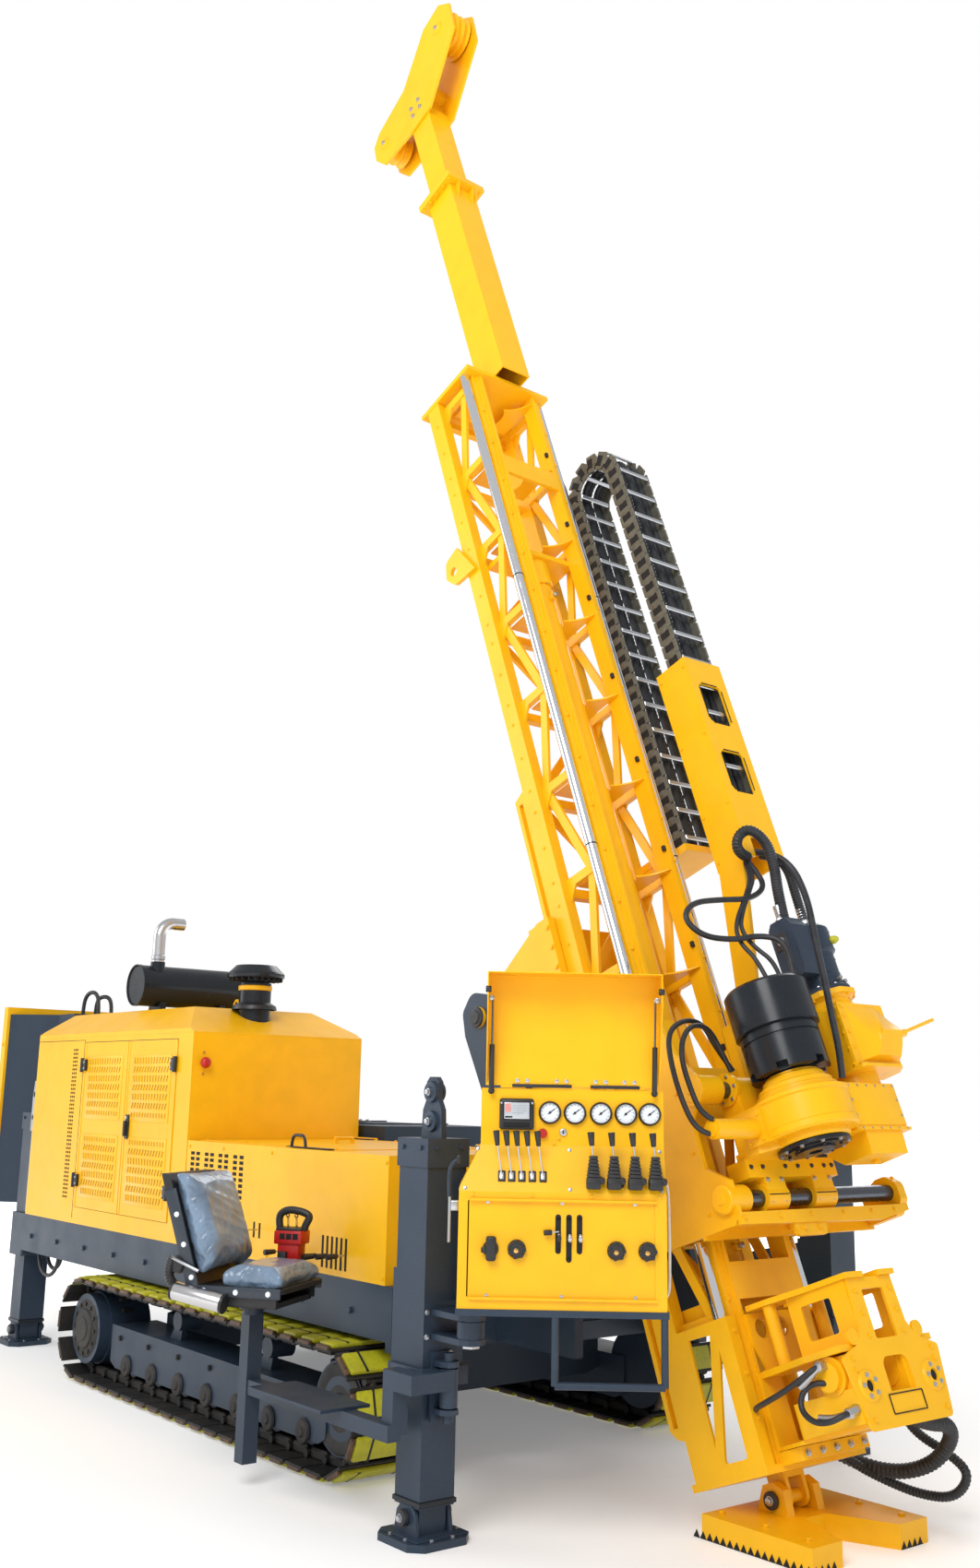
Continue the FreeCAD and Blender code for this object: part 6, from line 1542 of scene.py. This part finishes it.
class RIG_OT_rear(RigOperator):
    """Winch rope, rear bracket, frame bolts and tank fittings"""

    bl_idname = "rig.rear"
    bl_label = "Winch and rear"

    def winch(self):
        w = Piece("winch_rope", MACHINE)
        turns, half = 26, 0.242
        pitch = 2 * half / turns
        profile = [(0.092, -half)]
        for i in range(turns):
            h = -half + pitch * i
            profile += [(0.120, h), (0.127, h + pitch * 0.25), (0.127, h + pitch * 0.75)]
        profile += [(0.120, half), (0.092, half)]
        w.lathe(profile, "zinc", shift(0.040, 0.615, 1.110) @ turn("X", 90), 40)
        for side in (-1, 1):
            w.bolts([(0.040 + u, 0.615 + side * 0.265, 1.110 + v) for u, v in circle(6, 0.10)],
                    (0, side, 0), "zinc", 0.016)
        w.done("winch")

    def frame_bolts(self):
        r = Piece("rear_trim", MACHINE)
        for z in (0.98, 1.30, 1.62, 1.94):
            r.bolt((-3.535, -1.030, z), (0, -1, 0), "yellow", 0.020)
            r.bolt((-3.535, 0.130, z), (0, 1, 0), "yellow", 0.020)
        for z in (0.90, 1.53, 2.17):
            for y in (-0.99, -0.45, 0.09):
                r.drum((-3.5698, y, z), (-3.560, y, z), 0.009, "zinc", 6, 0)
        r.bolts([(x, 0.100, z) for z in (1.0, 1.35, 1.70, 2.05) for x in (-3.46, -3.25)], (0, 1, 0),
                "slate", 0.016)
        # drilled support bar between the cooler and the hood
        r.block((-2.990, -0.985, 0.84), (-2.942, -0.972, 1.40), "shell", 0.004)
        r.plate([(-0.026, 0), (0.026, 0), (0.026, 0.20), (0.016, 0.33), (-0.008, 0.33), (-0.026, 0.22)],
                -0.008, 0.008, "shell", 0.003, shift(-2.965, -0.988, 1.36) @ turn("X", 90))
        # dark discs: painted shade in the drilled holes
        for z, h in ((1.45, 1.3), (1.60, 1.6)):
            r.lathe([(0, 0.0092), (0.0115, 0.0092), (0.0125, 0.0078)], "gap",
                    shift(-2.965, -0.988, z) @ turn("X", 90) @ Matrix.Diagonal((1, h, 1, 1)), 24)
        r.done("chassis")

    def tank(self):
        t = Piece("tank_trim", MACHINE)
        t.lathe([(0, 0.050), (0.040, 0.050), (0.050, 0.042), (0.052, 0.012), (0.070, 0.010), (0.072, 0.0)],
                "plastic", shift(-2.55, 0.60, 1.46))
        t.lathe([(0, 0.010), (0.150, 0.010), (0.155, 0.0)], "slate", shift(-1.55, 0.60, 1.46))
        t.bolts([(-1.55 + u, 0.60 + v, 1.470) for u, v in circle(10, 0.135)], (0, 0, 1), "zinc", 0.018)
        t.block((-2.70, 1.000, 0.98), (-2.66, 1.014, 1.30), "plastic", 0.004)
        t.block((-2.692, 1.012, 1.00), (-2.668, 1.017, 1.28), "screen", 0.002)
        for z in (0.96, 1.32):
            t.drum((-2.68, 1.0, z), (-2.68, 1.018, z), 0.010, "zinc", 6, 0.001)
        t.bolts([(x, 1.000, z) for x in (-2.86, -2.2, -1.7, -1.2, -0.56) for z in (0.87, 1.42)], (0, 1, 0),
                "slate", 0.018)
        for x in (-2.4, -1.7, -1.0):
            t.block((x - 0.02, 0.185, 1.458), (x + 0.02, 1.005, 1.468), "slate", 0.003)
            t.block((x - 0.02, 0.998, 0.84), (x + 0.02, 1.006, 1.468), "slate", 0.003)
        t.lathe([(0, 0.02), (0.028, 0.02), (0.032, 0.0)], "zinc",
                shift(-0.90, 1.000, 0.92) @ turn("X", -90), 24)
        t.done("chassis")

    def deck(self):
        """Bolts along the side beams."""
        d = Piece("deck_trim", MACHINE)
        for side in (-1, 1):
            d.bolts([(-2.8 + 0.42 * i, side * 1.000, 0.70) for i in range(11)], (0, side, 0), "slate",
                    0.024)
        d.done("chassis")

    def execute(self, context):
        self.winch()
        self.frame_bolts()
        self.tank()
        self.deck()
        return {"FINISHED"}


class RIG_OT_hoses(RigOperator):
    """Hydraulic hoses of the head, the foot clamp and the rear, and the console's cable"""

    bl_idname = "rig.hoses"
    bl_label = "Hoses"

    # name, frame, bodies, diameter, rib pitch, length, route
    ROUTES = (
        ("head_hose_loop", "MAST", ("carriage", "head"), 0.026, None, 1.59,
         [(0.305, 0.355, 2.845), (0.33, 0.36, 2.78), (0.36, 0.36, 2.67), (0.36, 0.22, 2.59),
          (0.36, 0.01, 2.565),
          (0.36, -0.19, 2.53), (0.36, -0.28, 2.445), (0.36, -0.19, 2.365), (0.38, -0.01, 2.355),
          (0.42, 0.11, 2.370), (0.49, 0.17, 2.325), (0.52, 0.15, 2.21), (0.52, 0.115, 2.09)]),
        ("head_hose_right", "MAST", ("carriage", "head"), 0.020, None, 0.86,
         [(0.295, 0.352, 2.83), (0.33, 0.32, 2.74), (0.36, 0.19, 2.60), (0.36, 0.055, 2.45),
          (0.37, 0.03, 2.35), (0.41, 0.07, 2.25), (0.435, 0.07, 2.09)]),
        ("head_hose_left", "MAST", ("carriage", "head"), 0.020, None, 0.87,
         [(0.30, 0.354, 2.84), (0.34, 0.335, 2.74), (0.36, 0.22, 2.62), (0.36, 0.12, 2.50),
          (0.365, 0.075, 2.42), (0.39, 0.09, 2.33), (0.455, 0.13, 2.22), (0.475, 0.095, 2.09)]),
        ("motor_hose_front", "MAST", ("carriage", "head"), 0.052, 0.013, 0.73,
         [(0.318, 0.352, 2.850), (0.345, 0.255, 2.845), (0.39, 0.225, 2.90), (0.44, 0.27, 2.93),
          (0.47, 0.325, 2.85), (0.465, 0.33, 2.72), (0.455, 0.30, 2.58), (0.45, 0.288, 2.44)]),
        ("motor_hose_back", "MAST", ("carriage", "head"), 0.046, 0.013, 0.51,
         [(0.325, 0.46, 2.87), (0.40, 0.45, 2.82), (0.47, 0.42, 2.72), (0.475, 0.40, 2.58),
          (0.47, 0.40, 2.42)]),
        ("shift_box_hose", "MAST", ("carriage", "head"), 0.032, 0.009, 1.34,
         [(0.325, 0.42, 2.88), (0.40, 0.41, 2.84), (0.53, 0.37, 2.70), (0.585, 0.32, 2.50),
          (0.595, 0.265, 2.30),
          (0.595, 0.23, 2.10), (0.585, 0.205, 1.92), (0.575, 0.19, 1.76), (0.545, 0.19, 1.66)]),
        ("shift_hose_upper", "MAST", ("head",), 0.022, None, 0.87,
         [(0.37, -0.470, 1.545), (0.365, -0.52, 1.57), (0.36, -0.535, 1.67), (0.36, -0.54, 1.79),
          (0.35, -0.49, 1.89),
          (0.33, -0.38, 1.965), (0.29, -0.24, 1.97), (0.25, -0.16, 1.90), (0.24, -0.12, 1.80)]),
        ("shift_hose_lower", "MAST", ("head",), 0.022, None, 1.02,
         [(0.34, -0.470, 1.495), (0.335, -0.53, 1.51), (0.33, -0.565, 1.60), (0.33, -0.575, 1.78),
          (0.32, -0.53, 1.93),
          (0.30, -0.38, 2.00), (0.27, -0.24, 1.995), (0.235, -0.17, 1.91), (0.225, -0.09, 1.81)]),
        ("clamp_hose_upper", "MAST", ("mast",), 0.022, None, 0.50,
         [(0.40, -0.270, 0.60), (0.40, -0.335, 0.60), (0.35, -0.365, 0.575), (0.24, -0.360, 0.55),
          (0.12, -0.335, 0.535), (0.03, -0.295, 0.53), (-0.01, -0.260, 0.525)]),
        ("clamp_hose_lower", "MAST", ("mast",), 0.022, None, 0.45,
         [(0.47, -0.250, 0.435), (0.465, -0.325, 0.425), (0.41, -0.360, 0.410), (0.34, -0.365, 0.425),
          (0.29, -0.355, 0.48), (0.31, -0.335, 0.54), (0.37, -0.300, 0.555), (0.40, -0.262, 0.53)]),
        ("clamp_conduit_thick", "MAST", ("mast",), 0.062, 0.020, 1.03,
         [(0.33, 0.20, 0.385), (0.34, 0.30, 0.345), (0.33, 0.42, 0.335), (0.27, 0.51, 0.28),
          (0.14, 0.53, 0.21),
          (0.0, 0.51, 0.20), (-0.12, 0.48, 0.235), (-0.22, 0.42, 0.31), (-0.26, 0.31, 0.40)]),
        ("clamp_conduit_thin", "MAST", ("mast",), 0.040, 0.014, 1.37,
         [(0.30, 0.262, 0.52), (0.22, 0.36, 0.50), (0.08, 0.49, 0.43), (0.05, 0.58, 0.33),
          (0.15, 0.62, 0.23),
          (0.21, 0.63, 0.14), (0.11, 0.62, 0.07), (-0.02, 0.58, 0.11), (-0.11, 0.50, 0.19),
          (-0.17, 0.40, 0.28), (-0.20, 0.31, 0.38)]),
        ("cooler_hose_upper", "MACHINE", ("chassis",), 0.028, 0.010, 0.49,
         [(-3.06, -0.66, 2.148), (-3.06, -0.66, 2.24), (-2.99, -0.66, 2.30), (-2.87, -0.66, 2.30),
          (-2.80, -0.66, 2.24), (-2.80, -0.66, 2.12)]),
        ("cooler_hose_lower", "MACHINE", ("chassis",), 0.028, 0.010, 0.48,
         [(-3.08, -0.56, 2.148), (-3.08, -0.56, 2.22), (-3.01, -0.57, 2.275), (-2.86, -0.57, 2.275),
          (-2.79, -0.57, 2.22), (-2.79, -0.57, 2.12)]),
        ("beam_hose_outer", "MACHINE", ("chassis",), 0.024, None, 0.49,
         [(-2.80, -0.94, 0.62), (-2.79, -0.94, 0.54), (-2.70, -0.94, 0.47), (-2.58, -0.94, 0.47),
          (-2.48, -0.94, 0.54), (-2.47, -0.94, 0.62)]),
        ("beam_hose_inner", "MACHINE", ("chassis",), 0.024, None, 0.36,
         [(-2.76, -0.90, 0.62), (-2.75, -0.90, 0.56), (-2.68, -0.90, 0.51), (-2.60, -0.90, 0.51),
          (-2.53, -0.90, 0.56), (-2.52, -0.90, 0.62)]),
        ("console_cable", "CONSOLE", ("console",), 0.011, None, 0.44,
         [(0.120, 0.712, 1.36), (0.125, 0.730, 1.34), (0.130, 0.733, 1.25), (0.145, 0.733, 1.13),
          (0.150, 0.732, 1.00), (0.150, 0.728, 0.94), (0.146, 0.712, 0.93)]),
    )
    FRAMES = {"MAST": MAST, "MACHINE": MACHINE, "CONSOLE": CONSOLE}

    def execute(self, context):
        for name, where, bodies, diameter, rib, length, route in self.ROUTES:
            place = self.FRAMES[where]
            hose = Piece(name, place)
            hose.tube(route, diameter / 2, "cream" if name == "console_cable" else "hose", 14, rib)
            thing = hose.done(bodies[0] if len(bodies) == 1 else None)
            if len(bodies) == 2:
                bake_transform(thing)
        return {"FINISHED"}


class RIG_PT_panel(bpy.types.Panel):
    """Buttons and settings of the drilling rig"""

    bl_idname = "RIG_PT_panel"
    bl_label = "Drilling Rig"
    bl_space_type = "VIEW_3D"
    bl_region_type = "UI"
    bl_category = "Drilling Rig"

    def draw(self, context):
        for group in (context.scene.rig_paints, context.scene.rig_sizes):
            for name in group.__annotations__:
                self.layout.prop(group, name)
        for operator in OPERATORS:
            self.layout.operator(operator.bl_idname)


OPERATORS = (
    RIG_OT_stage, RIG_OT_paint_nodes, RIG_OT_tracks, RIG_OT_hood, RIG_OT_valve_box, RIG_OT_jacks,
    RIG_OT_mast,
    RIG_OT_energy_chain, RIG_OT_head, RIG_OT_foot_clamp, RIG_OT_console, RIG_OT_seat, RIG_OT_rear,
    RIG_OT_hoses,
)
CLASSES = (RigPaints, RigSizes) + OPERATORS + (RIG_PT_panel,)


def register():
    for cls in CLASSES:
        bpy.utils.register_class(cls)
    bpy.types.Scene.rig_paints = PointerProperty(type=RigPaints)
    bpy.types.Scene.rig_sizes = PointerProperty(type=RigSizes)


def unregister():
    del bpy.types.Scene.rig_sizes
    del bpy.types.Scene.rig_paints
    for cls in reversed(CLASSES):
        bpy.utils.unregister_class(cls)


def main():
    register()
    for operator in OPERATORS:
        group, name = operator.bl_idname.split(".")
        getattr(getattr(bpy.ops, group), name)()


if __name__ == "__main__":
    main()
